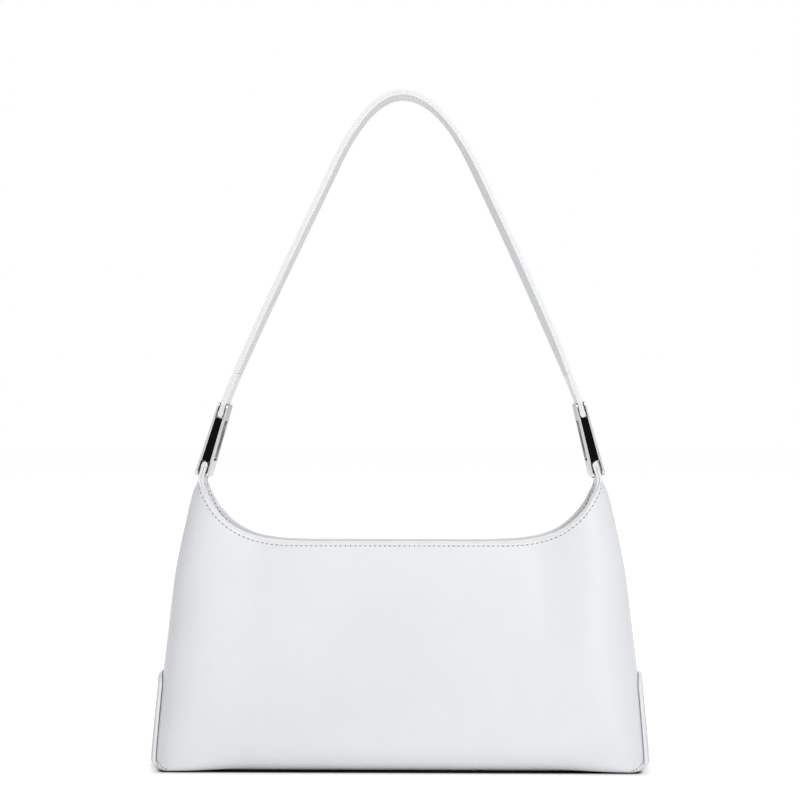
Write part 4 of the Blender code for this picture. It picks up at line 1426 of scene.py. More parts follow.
@dataclass
class Walls:
    """The two leather walls, with their rolled lower edges, and their inner facings."""

    shop: Workshop
    rim_layer: float = 0.00205
    panel: float = 0.0016
    facing_depth: float = 0.0030
    facing_rim_depth: float = 0.00215
    facing: float = 0.0012
    facing_height: float = 0.0240
    horn_edge: float = 0.00025
    stitch_inset: float = 0.0021
    stitch_end: float = 0.006
    facing_rise: float = 0.0010
    roll_sag: float = 0.0015
    corner_sag: float = 0.0021
    sag_start: float = 0.0213
    corner_reach: float = 0.1250
    corner_row: tuple[tuple[float, float], ...] = (
        (0.1388, 0.0052), (0.1374, 0.0039), (0.1360, 0.0030), (0.1344, 0.0024), (0.1326, 0.0021)
    )
    columns: int = 76
    wall_rows: int = 34
    facing_rows: int = 9
    seam_columns: tuple[float, ...] = (0.00015, 0.0004, 0.0008, 0.0013, 0.002, 0.003, 0.0045)
    horn_span: tuple[float, float] = (0.014, 0.03)
    horn_ease: tuple[float, float] = (0.004, 0.010)
    below_rim: tuple[float, ...] = (0.0014, 0.0020, 0.0028, 0.0038, 0.0050)
    thin_span: tuple[float, float] = (0.002, 0.004)
    even_span: tuple[float, float] = (0.0010, 0.0015)
    paint_left: float = 0.4
    paint_fade: float = 160.0
    foot_paint: float = 0.6
    thinnest: float = 0.0004
    seam_reach: float = 0.0013
    ripple_height: float = 0.00011
    under_span: tuple[float, float] = (0.019, 0.020)
    row_points: int = 500
    foot_row_end: float = 0.985
    foot_row_rise: float = 0.0018
    cast_start: float = 0.06

    def places(self) -> Points:
        """Return k for every column, closer together at the horns and the side seams.

        Returns:
            The places, from the left seam to the right one.
        """
        body = self.shop.body
        length = body.wall_length
        near = 1 - np.array(self.seam_columns) / length
        cut, (past, before) = body.cut, self.horn_span
        horn = np.linspace(near[-1], cut + past, 9)[1:-1]
        corner = cut + np.linspace(past, -before, 15)
        wall = np.linspace(cut - before, 0, self.columns)[1:]
        half = np.concatenate([near, horn, corner, wall])
        return np.concatenate([-half, half[-2::-1]])

    def edge_radius(self, k: Points, full: float) -> Points:
        """Return the rounding of the upper edge, full on the rim and small on the horns' tops."""
        before, reach = self.horn_ease
        past = np.abs(k) - self.shop.body.cut + before
        return blend(full, self.horn_edge, smooth_step(past / reach))

    def rise(self, k: Points) -> Points:
        """Return how far the facing's edge stands above the leather's, none at the horns' tops.

        Args:
            k: Places across the walls, from -1 to 1.

        Returns:
            The heights.
        """
        place, cut = np.abs(k), self.shop.body.cut
        curve = blend(0.4, 1.0, smooth_step((place - 0.35) / 0.2))
        return self.facing_rise * curve * smooth_step((cut - place) / 0.11)

    def seam_dip(self, k: Points) -> Points:
        """Return how far the leather turns in beside a side seam.

        Args:
            k: Places across the walls, from -1 to 1.

        Returns:
            The depths.
        """
        reach, length = self.seam_reach, self.shop.body.wall_length
        near = np.clip(reach - (1 - np.abs(k)) * length, 0, reach)
        return (reach - np.sqrt(reach**2 - (near * 0.93) ** 2)) * 0.85

    def ripple(self, k: Points, z: Points, face: int) -> Points:
        """Return the leather's slight unevenness over its stiffener.

        Args:
            k: Places across the walls, from -1 to 1.
            z: Heights.
            face: The wall.

        Returns:
            The depths, which may be negative.
        """
        x = k * 0.14
        wave = np.sin(x * 46 + z * 31 + face) * np.sin(z * 57 - x * 21 + 2 * face)
        wave += 0.6 * np.sin(x * 83 - z * 40 + 0.7) * np.sin(z * 91 + face * 1.9)
        return self.ripple_height * wave * smooth_step(z / 0.03) * smooth_step((0.128 - z) / 0.03)

    def rows(
        self,
        face: Face,
        rise: Points,
        near: tuple[float, float],
        far: tuple[float, float],
        foot: Points,
        count: int,
    ) -> list[Row]:
        """Return the rows of a layer from its rounded, painted rim down to its foot.

        Args:
            face: The wall.
            rise: How far the layer stands above the wall's top at each column.
            near: Depths of the outer face, at the rim and below it.
            far: Depths of the inner face, at the rim and below it.
            foot: The foot's height at each column.
            count: How many steps lead down to the foot.

        Returns:
            The rows, the rim's first.
        """
        body, k = self.shop.body, self.places()
        radius = self.edge_radius(k, (far[0] - near[0]) / 2)
        faces = np.full(len(k), float(face))
        step_k, step_z = body.rim_steps(k, faces)
        even_k, even_z = body.eased_steps(k, faces)
        top_k, top = k - step_k * rise, body.top(k) - step_z * rise
        rows = []
        for turn in RIM_TURNS:
            away, sunk = radius * (1 - math.cos(turn)), radius * (1 - math.sin(turn))
            place = top_k + step_k * away, top + step_z * away
            rows.append((*place, near[0] + sunk, far[0] - sunk, 1 - turn / 3))
        for away in self.below_rim:
            sunk = smooth_step((away - self.thin_span[0]) / self.thin_span[1])
            depths = (blend(*pair, sunk) + 0 * k for pair in (near, far))
            ease = float(smooth_step(np.array((away - self.even_span[0]) / self.even_span[1])))
            row_k = top_k + blend(step_k, even_k, ease) * away
            row_z = top + blend(step_z, even_z, ease) * away
            painted = max(0.0, self.paint_left - away * self.paint_fade)
            rows.append((row_k, row_z, *depths, painted))
        start_k, start_z = rows[-1][:2]
        for share in np.linspace(0, 1, count)[1:]:
            row_k = blend(start_k, k, 1 - (1 - share) ** 3)
            row_z = blend(start_z, foot, share)
            rows.append((row_k, row_z, near[1] + 0 * k, far[1] + 0 * k, 0.0))
        return rows

    def make_leather(self, face: Face) -> bpy.types.Object:
        """Return one leather wall, from its painted rim down and under the base.

        Args:
            face: The wall.

        Returns:
            The wall as a piece.
        """
        body, way = self.shop.body, float(face)
        k = self.places()
        width, dip = len(k), self.seam_dip(k)
        level = body.floor + body._roll_size(k)
        far = (self.rim_layer, self.panel)
        rows = self.rows(face, 0 * k, (0.0, 0.0), far, level, self.wall_rows)
        outer, inner, edge, flat = [], [], [], []
        for row_k, row_z, near, far, painted in rows:
            row_k = np.clip(row_k, *body.limits)
            sunk = near + np.minimum(dip, np.maximum(self.panel - near - self.thinnest, 0))
            sunk = sunk + self.ripple(row_k, row_z, int(face)) * (painted == 0)
            outer.append(body.layer(row_k, row_z, sunk, way))
            inner.append(body.layer(row_k, row_z, far, way))
            edge.append(np.full(width, painted))
            flat.append(np.stack([row_k * body.wall_length, row_z], -1))
        for turn in np.radians(np.linspace(0, 90, 10)[1:]):
            turns = np.full(width, turn)
            outer.append(body.roll(k, turns, dip * math.cos(turn), way))
            inner.append(body.roll(k, turns, np.full(width, self.panel), way))
            flat.append(np.stack([k * body.wall_length, level - turn * body.roll_large], -1))
        last = outer[-1], inner[-1]
        for share in (0.35, 0.7, 1.0):
            for grid, row in zip((outer, inner), last):
                row = row.copy()
                row[:, 1] = blend(row[:, 1], face * body.gap / 2, share)
                grid.append(row)
            down = level - self.under_span[0] - share * self.under_span[1]
            flat.append(np.stack([k * body.wall_length, down], -1))
        edge += [np.zeros(width)] * (len(outer) - len(edge))
        grids = np.array(outer), np.array(inner)
        self._sag(*grids, face)
        name = f"{face.word}_leather"
        mesh = closed_sheet(name, *grids, np.array(edge), np.array(flat))
        piece = add_piece(name, mesh, self.shop.finishes.leather)
        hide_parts("front_panel" if face is Face.FRONT else "back_panel")
        return self.shop.flexes(piece, Slot.LEATHER)

    def _sag(self, outer: Points, inner: Points, face: Face) -> None:
        """Let the rolled lower edge sag a little, and keep the wall on its own side.

        Args:
            outer: The grid of the outer face.
            inner: The grid of the inner face.
            face: The wall.
        """
        body = self.shop.body
        x, y, z = (outer[..., axis] for axis in range(3))
        corner = smooth_step((np.abs(x) - self.corner_reach) / 0.012)
        sag = blend(self.roll_sag, self.corner_sag, corner)
        sag *= smooth_step((np.abs(y) - self.sag_start) / 0.0012)
        sag *= smooth_step((body.roll_level - z) / 0.009)
        for grid in (outer, inner):
            grid[..., 2] -= sag
            grid[..., 1] = face * np.maximum(grid[..., 1] * face, body.gap / 2)

    def make_facing(self, face: Face) -> bpy.types.Object:
        """Return the inner leather band along one rim.

        Args:
            face: The wall.

        Returns:
            The band as a piece.
        """
        body, k = self.shop.body, self.places()
        back, thin = self.facing_depth + self.facing, self.facing / 2
        foot = body.top(k) - self.facing_height
        near = (self.facing_rim_depth, self.facing_depth)
        rise, far = self.rise(k), (back, back)
        rows = self.rows(face, rise, near, far, foot + thin, self.facing_rows)
        for turn in np.radians((60, 30, 0)):
            sunk = thin * (1 - math.sin(turn)) + 0 * k
            height = foot + thin * (1 - math.cos(turn))
            rows.append((k, height, self.facing_depth + sunk, back - sunk, self.foot_paint))
        grids = []
        for depth in (3, 2):
            grid = np.array([
                body.layer(np.clip(row[0], *body.limits), row[1], row[depth], float(face))
                for row in rows
            ])
            grid[..., 1] = face * np.maximum(grid[..., 1] * face, body.gap / 2)
            grids.append(grid)
        edge = np.array([np.full(len(k), painted) for *_, painted in rows])
        flat = np.array([np.stack([a * body.wall_length, z], -1) for a, z, *_ in rows])
        name = f"{face.word}_facing_leather"
        piece = add_piece(name, closed_sheet(name, *grids, edge, flat), self.shop.finishes.facing)
        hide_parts("front_facing" if face is Face.FRONT else "back_facing")
        return self.shop.flexes(piece, Slot.FACING)

    def make_stitches(self, face: Face) -> bpy.types.Object:
        """Return the rows sewn along one rim, outside on the wall and inside on the facing.

        Args:
            face: The wall.

        Returns:
            The stitches as a piece.
        """
        body, way = self.shop.body, float(face)
        back = self.facing_depth + self.facing
        end, foot_end, count = body.cut - self.stitch_end, self.foot_row_end, self.row_points
        k, foot_k = np.linspace(-end, end, count), np.linspace(-foot_end, foot_end, count)
        faces = np.full(count, way)
        place = body.from_rim(k, np.full(count, self.stitch_inset), faces)
        foot = foot_k, body.top(foot_k) - self.facing_height + self.foot_row_rise
        out, foot_out = body.outward(*place, faces), body.outward(*foot, faces)
        lines = [
            (body.layer(*place, 0.0, way), out),
            (body.layer(*place, back, way), -out),
            (body.layer(*foot, back, way), -foot_out),
        ]
        piece = self.shop.stitches.sew(f"{face.word}_rim_stitches", lines)
        return self.shop.flexes(piece, Slot.LEATHER)

    def make_corner_stitches(self, walls: Sequence[bpy.types.Object]) -> bpy.types.Object:
        """Return the short rows that show at the walls' lower corners.

        Args:
            walls: The front wall and the back wall.

        Returns:
            The stitches as a piece.
        """
        lines = []
        for face, wall in zip(Face, walls):
            for side in Side:
                row, outward = [], []
                for x, z in self.corner_row:
                    start = (side * x, face * self.cast_start, z)
                    hit, place, normal, _ = wall.ray_cast(start, (0, -face, 0))
                    if hit:
                        row.append(place)
                        outward.append(normal)
                lines.append((np.array(row), np.array(outward)))
        sewn = self.shop.stitches.sew("corner_stitches", lines, Pitch=0.0022)
        return self.shop.rides(sewn, "bag", Slot.LEATHER)

    def build(self) -> list[bpy.types.Object]:
        """Return every piece of both walls.

        Returns:
            The pieces.
        """
        walls = [self.make_leather(face) for face in Face]
        made = walls + [self.make_corner_stitches(walls)]
        for face in Face:
            made += [self.make_facing(face), self.make_stitches(face)]
        return made


@dataclass
class Lining:
    """The cloth bag inside, with its slip pocket."""

    shop: Workshop
    depth: float = 0.0034
    cloth: float = 0.0007
    floor: float = 0.0065
    facing_height: float = 0.0240
    pocket_share: float = 0.455
    pocket_drop: float = 0.0098
    pocket_bottom: float = 0.27
    pocket_cloth: float = 0.0007
    pocket_slack: float = 0.0007
    pocket_inset: float = 0.002
    pocket_hem: float = 0.006
    rows: int = 46
    row_power: float = 1.15
    columns: int = 60

    def ring(self) -> tuple[Points, Points]:
        """Return k and face of every column right round the bag.

        Returns:
            The places k and the walls, -1 or 1.
        """
        half = np.linspace(-1, 1, 2 * self.columns + 1)
        back = half[-2:0:-1]
        return np.concatenate([half, back]), np.repeat((-1.0, 1.0), (len(half), len(back)))

    def make_bag(self) -> bpy.types.Object:
        """Return the lining as a closed skin with its floor.

        Returns:
            The lining as a piece.
        """
        body = self.shop.body
        k, face = self.ring()
        edge = body.top(k) - self.facing_height - body.gap
        rings = []
        for inward, order in ((0.0, 1), (self.cloth, -1)):
            shares = np.linspace(0, 1, self.rows) ** self.row_power
            heights = [blend(self.floor + inward, edge, share) for share in shares]
            rings += [body.layer(k, z, self.depth + inward, face) for z in heights][::order]
        mesh = ring_mesh("lining_cloth", np.array(rings))
        self.lay_flat(mesh)
        piece = add_piece("lining_cloth", mesh, self.shop.finishes.lining)
        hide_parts("lining_bag")
        return self.shop.rides(piece, "bag", Slot.LINING)

    def lay_flat(self, mesh: bpy.types.Mesh) -> None:
        """Give a mesh a flat layout in metres, across its walls and up them.

        Args:
            mesh: The mesh.
        """
        layer = mesh.uv_layers.new(name="flat")
        for polygon in mesh.polygons:
            level = abs(polygon.normal.z) > 0.7
            upright = abs(polygon.normal.x) > abs(polygon.normal.y)
            for loop in polygon.loop_indices:
                x, y, z = mesh.vertices[mesh.loops[loop].vertex_index].co
                layer.data[loop].uv = (x, y) if level else ((y, z) if upright else (x, z))

    def make_pocket(self) -> list[bpy.types.Object]:
        """Return the slip pocket on the back lining and the stitches that hold it.

        Returns:
            The pocket and its stitches.
        """
        body = self.shop.body
        top = body.rim_height - self.facing_height - self.pocket_drop
        bottom = top * self.pocket_bottom
        half = body.base_width * self.pocket_share / 2
        thin = self.pocket_cloth / 2
        middle = self.depth + self.cloth + body.gap + thin

        def slack(x: Points, z: Points) -> Points:
            """Return how far the pocket's cloth hangs away from the lining."""
            climb = np.clip((z - bottom) / (top - bottom), 0, 1)
            return self.pocket_slack * climb**2 * np.cos(x / half * math.pi / 2) ** 2

        turns = np.radians((0, 30, 60, 90))
        ends = thin * (1 - np.cos(turns))
        x, z = (
            np.concatenate([low + ends, np.linspace(low, high, count)[1:-1], (high - ends)[::-1]])
            for low, high, count in ((-half, half, 40), (bottom, top, 30))
        )
        rise = np.sin(turns)
        swell_x, swell_z = (
            np.concatenate([rise, np.ones(count), rise[::-1]]) for count in (38, 28)
        )
        x, z = np.meshgrid(x, z)
        swell = np.minimum(swell_x[None, :], swell_z[:, None]) * thin
        k, loose = x / body.wall_length, slack(x, z)
        near, far = (body.layer(k, z, middle + way * swell + loose, 1.0) for way in (1, -1))
        name = "slip_pocket_cloth"
        mesh = closed_sheet(name, near, far, None, np.stack([x, z], -1))
        pocket = add_piece(name, mesh, self.shop.finishes.lining)
        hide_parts("slip_pocket")
        inset = self.pocket_inset
        side = np.linspace(top - inset, bottom + inset, 60)
        across = np.linspace(-half + inset, half - inset, 90)
        left, right = np.full(60, -half + inset), np.full(60, half - inset)
        path_x = np.concatenate([left, across[1:-1], right])
        path_z = np.concatenate([side, np.full(88, bottom + inset), side[::-1]])
        lines = []
        for x, z in ((path_x, path_z), (across, np.full(90, top - self.pocket_hem))):
            k = x / body.wall_length
            line = body.layer(k, z, middle + thin + slack(x, z), 1.0)
            lines.append((line, -body.outward(k, z, np.ones(len(k)))))
        sewn = self.shop.stitches.sew("pocket_stitches", lines, Hole_Radius=0.0002)
        return [self.shop.rides(piece, "bag", Slot.LINING) for piece in (pocket, sewn)]

    def build(self) -> list[bpy.types.Object]:
        """Return the lining, the pocket and its stitches."""
        return [self.make_bag(), *self.make_pocket()]


@dataclass
class BaseStrip:
    """The leather strip under the base, with a rounded tongue up each side."""

    shop: Workshop
    thickness: float = 0.0020
    base_width: float = 0.0420
    top_width: float = 0.0250
    height: float = 0.0540
    end_radius: float = 0.0110
    corner: float = 0.0018
    stitch_inset: float = 0.0026
    stitch_floor: float = 0.0012
    stitch_centre: float = 0.01
    inner_shares: tuple[float, ...] = (0.12, 0.25, 0.45, 0.7, 1.0)
    paint_left: float = 0.3

    def flat_half(self) -> tuple[float, float]:
        """Return the flat lengths from the middle of the base to the roll and to the wall.

        Returns:
            The two lengths.
        """
        body = self.shop.body
        reach = float(body.half_width(body.floor)) - self.corner
        return reach, reach + math.pi / 2 * (self.corner + body.gap + self.thickness / 2)

    def half_at(self, length: Points) -> Points:
        """Return half the strip's width at a flat distance from the middle of the base.

        Args:
            length: Flat distances.

        Returns:
            The half widths.
        """
        _, wall = self.flat_half()
        level = self.shop.body.floor + self.corner
        climb = np.maximum(0.0, length - wall) + level
        shoulder = self.height - self.end_radius
        width = blend(self.base_width, self.top_width, np.clip(climb / shoulder, 0, 1)) / 2
        rise = np.clip((climb - shoulder) / self.end_radius, 0, 1)
        return np.where(length <= wall, self.base_width / 2, width * np.sqrt(1 - rise**2))

    def outline(self, inset: float = 0.0) -> Points:
        """Return the flat outline, moved in by a distance, as (length, offset) points.

        Args:
            inset: How far the edge is moved in.

        Returns:
            The outline's points.
        """
        _, wall = self.flat_half()
        level = self.shop.body.floor + self.corner
        shoulder = wall + self.height - self.end_radius - level
        tip = np.radians(np.linspace(0, 90, 16))
        lengths = np.concatenate([
            np.linspace(0, wall, 30)[:-1],
            np.linspace(wall, shoulder, 26)[:-1],
            shoulder + self.end_radius * np.sin(tip),
        ])
        widths = self.half_at(lengths)
        quarter = np.stack([lengths, widths], -1)
        right = np.concatenate([quarter, (quarter * (1, -1))[-2::-1]])
        whole = np.concatenate([right, (-right)[1:-1]])
        return inset_outline(whole, inset) if inset else whole

    def wrap(self, flat: Points, depth: float) -> Points:
        """Return the points on the body that flat places of the strip come to.

        Args:
            flat: (length, offset) places on the flat strip.
            depth: Depth below the leather's face; negative lies outside it.

        Returns:
            The points in space.
        """
        body = self.shop.body
        reach, wall = self.flat_half()
        side = np.where(flat[..., 0] < 0, -1.0, 1.0)
        length, y = np.abs(flat[..., 0]), flat[..., 1]
        face = np.where(y > 0, 1.0, -1.0)
        level = body.floor + self.corner
        height = np.maximum(level, level + length - wall)
        k = body.place_at(side, y, height)
        upright = body.layer(k, height, depth, face)
        base_k = body.place_at(side, y, level)
        turn = np.clip((wall - length) / (wall - reach), 0, 1) * math.pi / 2
        depths = np.full(y.shape, depth)
        rolled = body.roll(base_k, turn, depths, face)
        under = body.roll(base_k, np.full(y.shape, math.pi / 2), depths, face)
        under[..., 0] *= length / reach
        rolled[..., 1] = under[..., 1] = y
        made = np.where((length < wall)[..., None], rolled, upright)
        return np.where((length < reach)[..., None], under, made)

    def build(self) -> list[bpy.types.Object]:
        """Return the strip and the stitches near its edge.

        Returns:
            The strip and its stitches.
        """
        body = self.shop.body
        rim = self.outline()
        tip = self.flat_half()[1] + self.height - self.end_radius - body.floor - self.corner
        spine = np.stack([np.clip(rim[:, 0], -tip, tip), np.zeros(len(rim))], -1)
        radius = self.thickness / 2
        span = np.linalg.norm(rim - spine, axis=1)
        middle = -body.gap - radius
        rows = [
            (radius * (1 - math.cos(turn)) / span, radius * math.sin(turn), 1 - turn / 3)
            for turn in EDGE_TURNS
        ]
        rows += [
            (blend(radius / span, 1.0, share), radius, 0.0 if number else self.paint_left)
            for number, share in enumerate(self.inner_shares)
        ]
        flats = [blend(rim, spine, share[:, None]) for share, _, _ in rows]
        points = np.array([
            [self.wrap(flat, middle + way * lift) for flat, (_, lift, _) in zip(flats, rows)]
            for way in (-1, 1)
        ])
        faces, (levels, count) = [], points.shape[1:3]
        for row in range(levels - 1):
            for n in range(count):
                a, b = row * count + n, row * count + (n + 1) % count
                faces.append([a, b, b + count, a + count])
                faces.append([corner + levels * count for corner in (b, a, a + count, b + count)])
        points = points.reshape(-1, 3)
        points[:, 2] = np.maximum(points[:, 2], 0.0)
        painted = np.tile(np.repeat([paint for *_, paint in rows], count), 2)
        mesh = mesh_of("base_strip_leather", points, faces, painted)
        strip = add_piece("base_strip_leather", mesh, self.shop.finishes.leather)
        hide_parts("base_strip")
        path = self.outline(self.stitch_inset)
        path = np.concatenate([path, path[:1]])
        line = self.wrap(path, middle - radius)
        outward = unit(self.wrap(path, middle - radius - 0.001) - line)
        lines = []
        for side in Side:
            chosen = (line[:, 2] > self.stitch_floor) & (np.sign(line[:, 0]) == side)
            height = line[chosen, 2] - self.stitch_centre
            order = np.argsort(np.arctan2(line[chosen, 1], height))
            lines.append((line[chosen][order], outward[chosen][order]))
        sewn = self.shop.stitches.sew("tongue_stitches", lines)
        return [self.shop.rides(piece, "bag", Slot.LEATHER) for piece in (strip, sewn)]


@dataclass
class Snap:
    """The magnetic snap in the middle of the mouth."""

    shop: Workshop
    drop: float = 0.0130
    radius: float = 0.0090
    socket: float = 0.0030
    bore: float = 0.0042
    bore_depth: float = 0.0018
    stud: float = 0.0018
    nub: float = 0.0036
    nub_height: float = 0.0016
    depth: float = 0.0045

    def place(self, face: Face) -> Matrix:
        """Return the frame on the middle of a facing, its Z axis pointing inwards.

        Args:
            face: The wall.

        Returns:
            The frame.
        """
        body = self.shop.body
        height = body.rim_height - self.drop
        high, low = (
            Vector(body.layer(0.0, height + rise, self.depth, float(face)))
            for rise in (self.radius, -self.radius)
        )
        up = (high - low).normalized()
        inward = (Vector((1, 0, 0)).cross(up) * int(face)).normalized()
        turn = Matrix((up.cross(inward), up, inward)).transposed().to_4x4()
        return Matrix.Translation((high + low) / 2) @ turn

    def ring_groove(self, height: float) -> list[tuple[float, float]]:
        """Return the (radius, height) points of the shallow ring groove in a half's face."""
        drops = ((0.0016, 0.0), (0.0018, 0.0002), (0.0021, 0.0002), (0.0023, 0.0))
        return [(self.radius - inward, height - down) for inward, down in drops]

    def build(self) -> list[bpy.types.Object]:
        """Return the socket half and the stud half.

        Returns:
            The two halves.
        """
        r, t = self.radius, self.socket
        socket = [
            (r - 0.0004, 0), (r, 0.0004), (r, t - 0.0007), (r - 0.0002, t - 0.0003),
            (r - 0.0007, t), *self.ring_groove(t),
            (self.bore + 0.0005, t), (self.bore + 0.0001, t - 0.0002), (self.bore, t - 0.0005),
            *((radius, t - self.bore_depth) for radius in (self.bore, 0.0012, 0.0)),
        ]
        s, n, peak = self.stud, self.nub, self.stud + self.nub_height
        stud = [
            (r - 0.0004, 0), (r, 0.0004), (r, s - 0.0006), (r - 0.0002, s - 0.0002),
            (r - 0.0006, s), *self.ring_groove(s), (n + 0.0006, s), (n + 0.0001, s + 0.0002),
            (n, s + 0.0006), (n, peak - 0.0005), (n - 0.0001, peak - 0.0002),
            (n - 0.0005, peak), (0.0, peak),
        ]
        made = []
        for name, face, profile in zip(("snap_socket", "snap_stud"), Face, (socket, stud)):
            mesh = turned_mesh(name, profile, self.place(face), 48)
            piece = add_piece(f"{name}_half", mesh, self.shop.finishes.chrome)
            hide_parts(name)
            made.append(self.shop.rides(piece, "bag", Slot.CHROME))
        return made


# Straps of leather with rounded, painted edges

Surface = Callable[[int, Points], Points]


def leather_strip(
    name: str,
    outer: Surface,
    inner: Surface,
    thickness: Points,
    half_width: Points,
    finish: bpy.types.Material,
    across: int,
    soft: float,
    soft_inside: float,
) -> bpy.types.Object:
    """Return a strip of leather between two faces, with both long edges rounded.

    Args:
        name: The piece's name.
        outer: Gives the outer face's points of a row from their places, -1 to 1.
        inner: Gives the inner face's points in the same way.
        thickness: The leather's thickness at each row.
        half_width: Half the strip's width at each row.
        finish: The leather.
        across: Points on the flat part of each row.
        soft: The largest radius of the edges' corners on the outer face.
        soft_inside: The same on the inner face.

    Returns:
        The strip as a piece.
    """
    paint = 1 - EDGE_TURNS / 3
    paint = np.concatenate([paint, np.zeros(across - 2), paint[::-1]])
    grids = []
    for own, other, largest in ((outer, inner, soft), (inner, outer, soft_inside)):
        grid = []
        for row, (thick, half) in enumerate(zip(thickness, half_width)):
            corner = min(largest, thick / 2)
            radius, full = corner / half, corner / (thick / 2)
            ends = radius * (1 - np.cos(EDGE_TURNS))
            flat = np.linspace(-1 + radius, 1 - radius, across)
            place = np.concatenate([-1 + ends, flat[1:-1], (1 - ends)[::-1]])
            rise = 1 - full + full * np.sin(EDGE_TURNS)
            lift = np.concatenate([rise, np.ones(across - 2), rise[::-1]])
            grid.append(blend(own(row, place), other(row, place), ((1 - lift) / 2)[:, None]))
        grids.append(np.array(grid))
    painted = np.tile(paint, (len(thickness), 1))
    return add_piece(name, closed_sheet(name, *grids, painted), finish)


@dataclass
class Tab:
    """The leather loop at the top of one horn, round the link's lower rod."""

    shop: Workshop
    side: Side
    width: float = 0.0220
    neck: float = 0.0034
    neck_length: float = 0.0070
    layer: float = 0.0042
    groove: float = 0.0001
    loop_half_width: float = 0.00195
    loop_turn: float = math.radians(104)
    seat: float = 0.1574
    lap: float = 0.00003
    pull: tuple[float, float] = (0.010, 0.009)
    rise_steps: int = 18
    flare_steps: int = 8
    loop_steps: int = 22
    stitch_inset: float = 0.0021
    soft: float = 0.0006
    soft_inside: float = 0.00055
    seat_search: float = 0.02
    seat_step: float = 0.003
    rim_share: float = 0.985
    rim_pull: float = 0.9
    flare_lead: float = 0.0022

    @cached_property
    def seat_turn(self) -> float:
        """Return the angle round the side where the rim is as high as the tab's seat.

        Returns:
            The angle.
        """
        body = self.shop.body
        places = np.linspace(body.cut - self.seat_search, body.cut + self.seat_search, 400)
        return body.turn_for_place(float(np.interp(self.seat, body.top(places), places)))

    def _columns(self, places: Points) -> tuple[Points, Points]:
        """Return k and face of the horn's columns that the tab grows from."""
        k = self.side * self.shop.body.place_for_turn(np.abs(places) * self.seat_turn)
        return k, np.where(places > 0, 1.0, -1.0)

    def _root(self, places: Points, depth: float) -> Points:
        """Return points on the horn where the tab grows out of it."""
        k, face = self._columns(places)
        return self.shop.body.layer(k, self.seat, depth, face)

    def _leave(self, places: Points) -> Points:
        """Return the directions in which the tab leaves the horn, along the rim at its edges.

        Args:
            places: Places across the strip, from -1 to 1.

        Returns:
            The directions.
        """
        body = self.shop.body
        k, face = self._columns(places)
        high, low = (body.layer(k, self.seat - down, 0.0, face) for down in (0.0, self.seat_step))
        rise = unit(high - low)
        edge_k, edge_face = self._columns(np.sign(places))
        inner_k = edge_k * self.rim_share
        low = body.layer(inner_k, body.top(inner_k), 0.0, edge_face)
        rim = unit(body.layer(edge_k, self.seat, 0.0, edge_face) - low)
        return unit(blend(rise, rim, (places**4 * self.rim_pull)[:, None]))

    def _across_link(self, places: Points, x: float, along: float) -> Points:
        """Return points across the tab in the link's frame."""
        frame = self.shop.link.frame(self.shop.body, self.side)
        return in_frame(frame, x, places * self.width / 2, along)

    def rows(self) -> list[tuple[str, float, int]]:
        """Return each row as its kind, its share and which leg it is on.

        Returns:
            The rows, from the outer foot over the loop to the inner foot.
        """
        leg = [("rise", share) for share in np.linspace(0, 1, self.rise_steps)]
        leg += [("flare", share) for share in np.linspace(0, 1, self.flare_steps)[1:]]
        turns = [("loop", share, 0) for share in np.linspace(0, 1, self.loop_steps)[1:-1]]
        return [(*row, 1) for row in leg] + turns + [(*row, -1) for row in leg[::-1]]

    def _rise_point(self, places: Points, share: float, across: float) -> Points:
        """Return points between the horn and the mouth, at a share across the layers.

        Args:
            places: Places across the strip, from -1 to 1.
            share: How far up, from 0 at the horn to 1 at the mouth.
            across: 0 at the outer face and 1 at the inner one.

        Returns:
            The points.
        """
        depth = blend(-self.lap, self.layer + self.lap, across)
        start, leave = self._root(places, depth), self._leave(places)
        mouth = self._across_link(places, self.side * self.neck * (0.5 - across), -self.neck_length)
        arrive = self._across_link(places, 0, 1.0) - self._across_link(places, 0, 0.0)
        s = share
        near, far = 1 - 3 * s * s + 2 * s**3, 3 * s * s - 2 * s**3
        return (
            near * start + far * mouth
            + (s - 2 * s * s + s**3) * self.pull[0] * leave
            + (s**3 - s * s) * self.pull[1] * arrive
        )

    def _flare_place(self, share: float) -> tuple[float, float]:
        """Return the outer face's place between the mouth and the loop, in the link's frame.

        Args:
            share: How far along, from 0 to 1.

        Returns:
            The place across the link and the place along it.
        """
        turn, lead = self.loop_turn, self.flare_lead
        end_x = self.loop_half_width * math.sin(turn)
        end = self.shop.link.loop_radius * math.cos(turn)
        across = (self.neck / 2, self.neck / 2, end_x, end_x)
        along = (-self.neck_length, -self.neck_length + lead, end - math.sin(turn) * lead, end)
        return bezier(across, share), bezier(along, share)

    def surface(self, outside: bool) -> Surface:
        """Return the function that gives one face's points of a row.

        Args:
            outside: Whether the outer face is wanted.

        Returns:
            The function.
        """
        rows = self.rows()
        inside, fine = self.groove / self.layer / 2, self.groove / 2
        loop = (self.loop_half_width, self.shop.link.loop_radius) if outside else (fine, fine)

        def points(row: int, places: Points) -> Points:
            """Return the row's points at places from -1 to 1.

            Args:
                row: The row's number.
                places: Places across the strip, from -1 to 1.

            Returns:
                The points.
            """
            kind, share, leg = rows[row]
            if kind == "rise":
                across = (0.0 if leg > 0 else 1.0) if outside else 0.5 - leg * inside
                return self._rise_point(places, share, across)
            if kind == "flare":
                x, along = self._flare_place(share)
                x = self.side * leg * (x if outside else fine)
                return self._across_link(places, x, along)
            swing = blend(self.loop_turn, -self.loop_turn, share)
            x = self.side * loop[0] * math.sin(swing)
            return self._across_link(places, x, loop[1] * math.cos(swing))

        return points

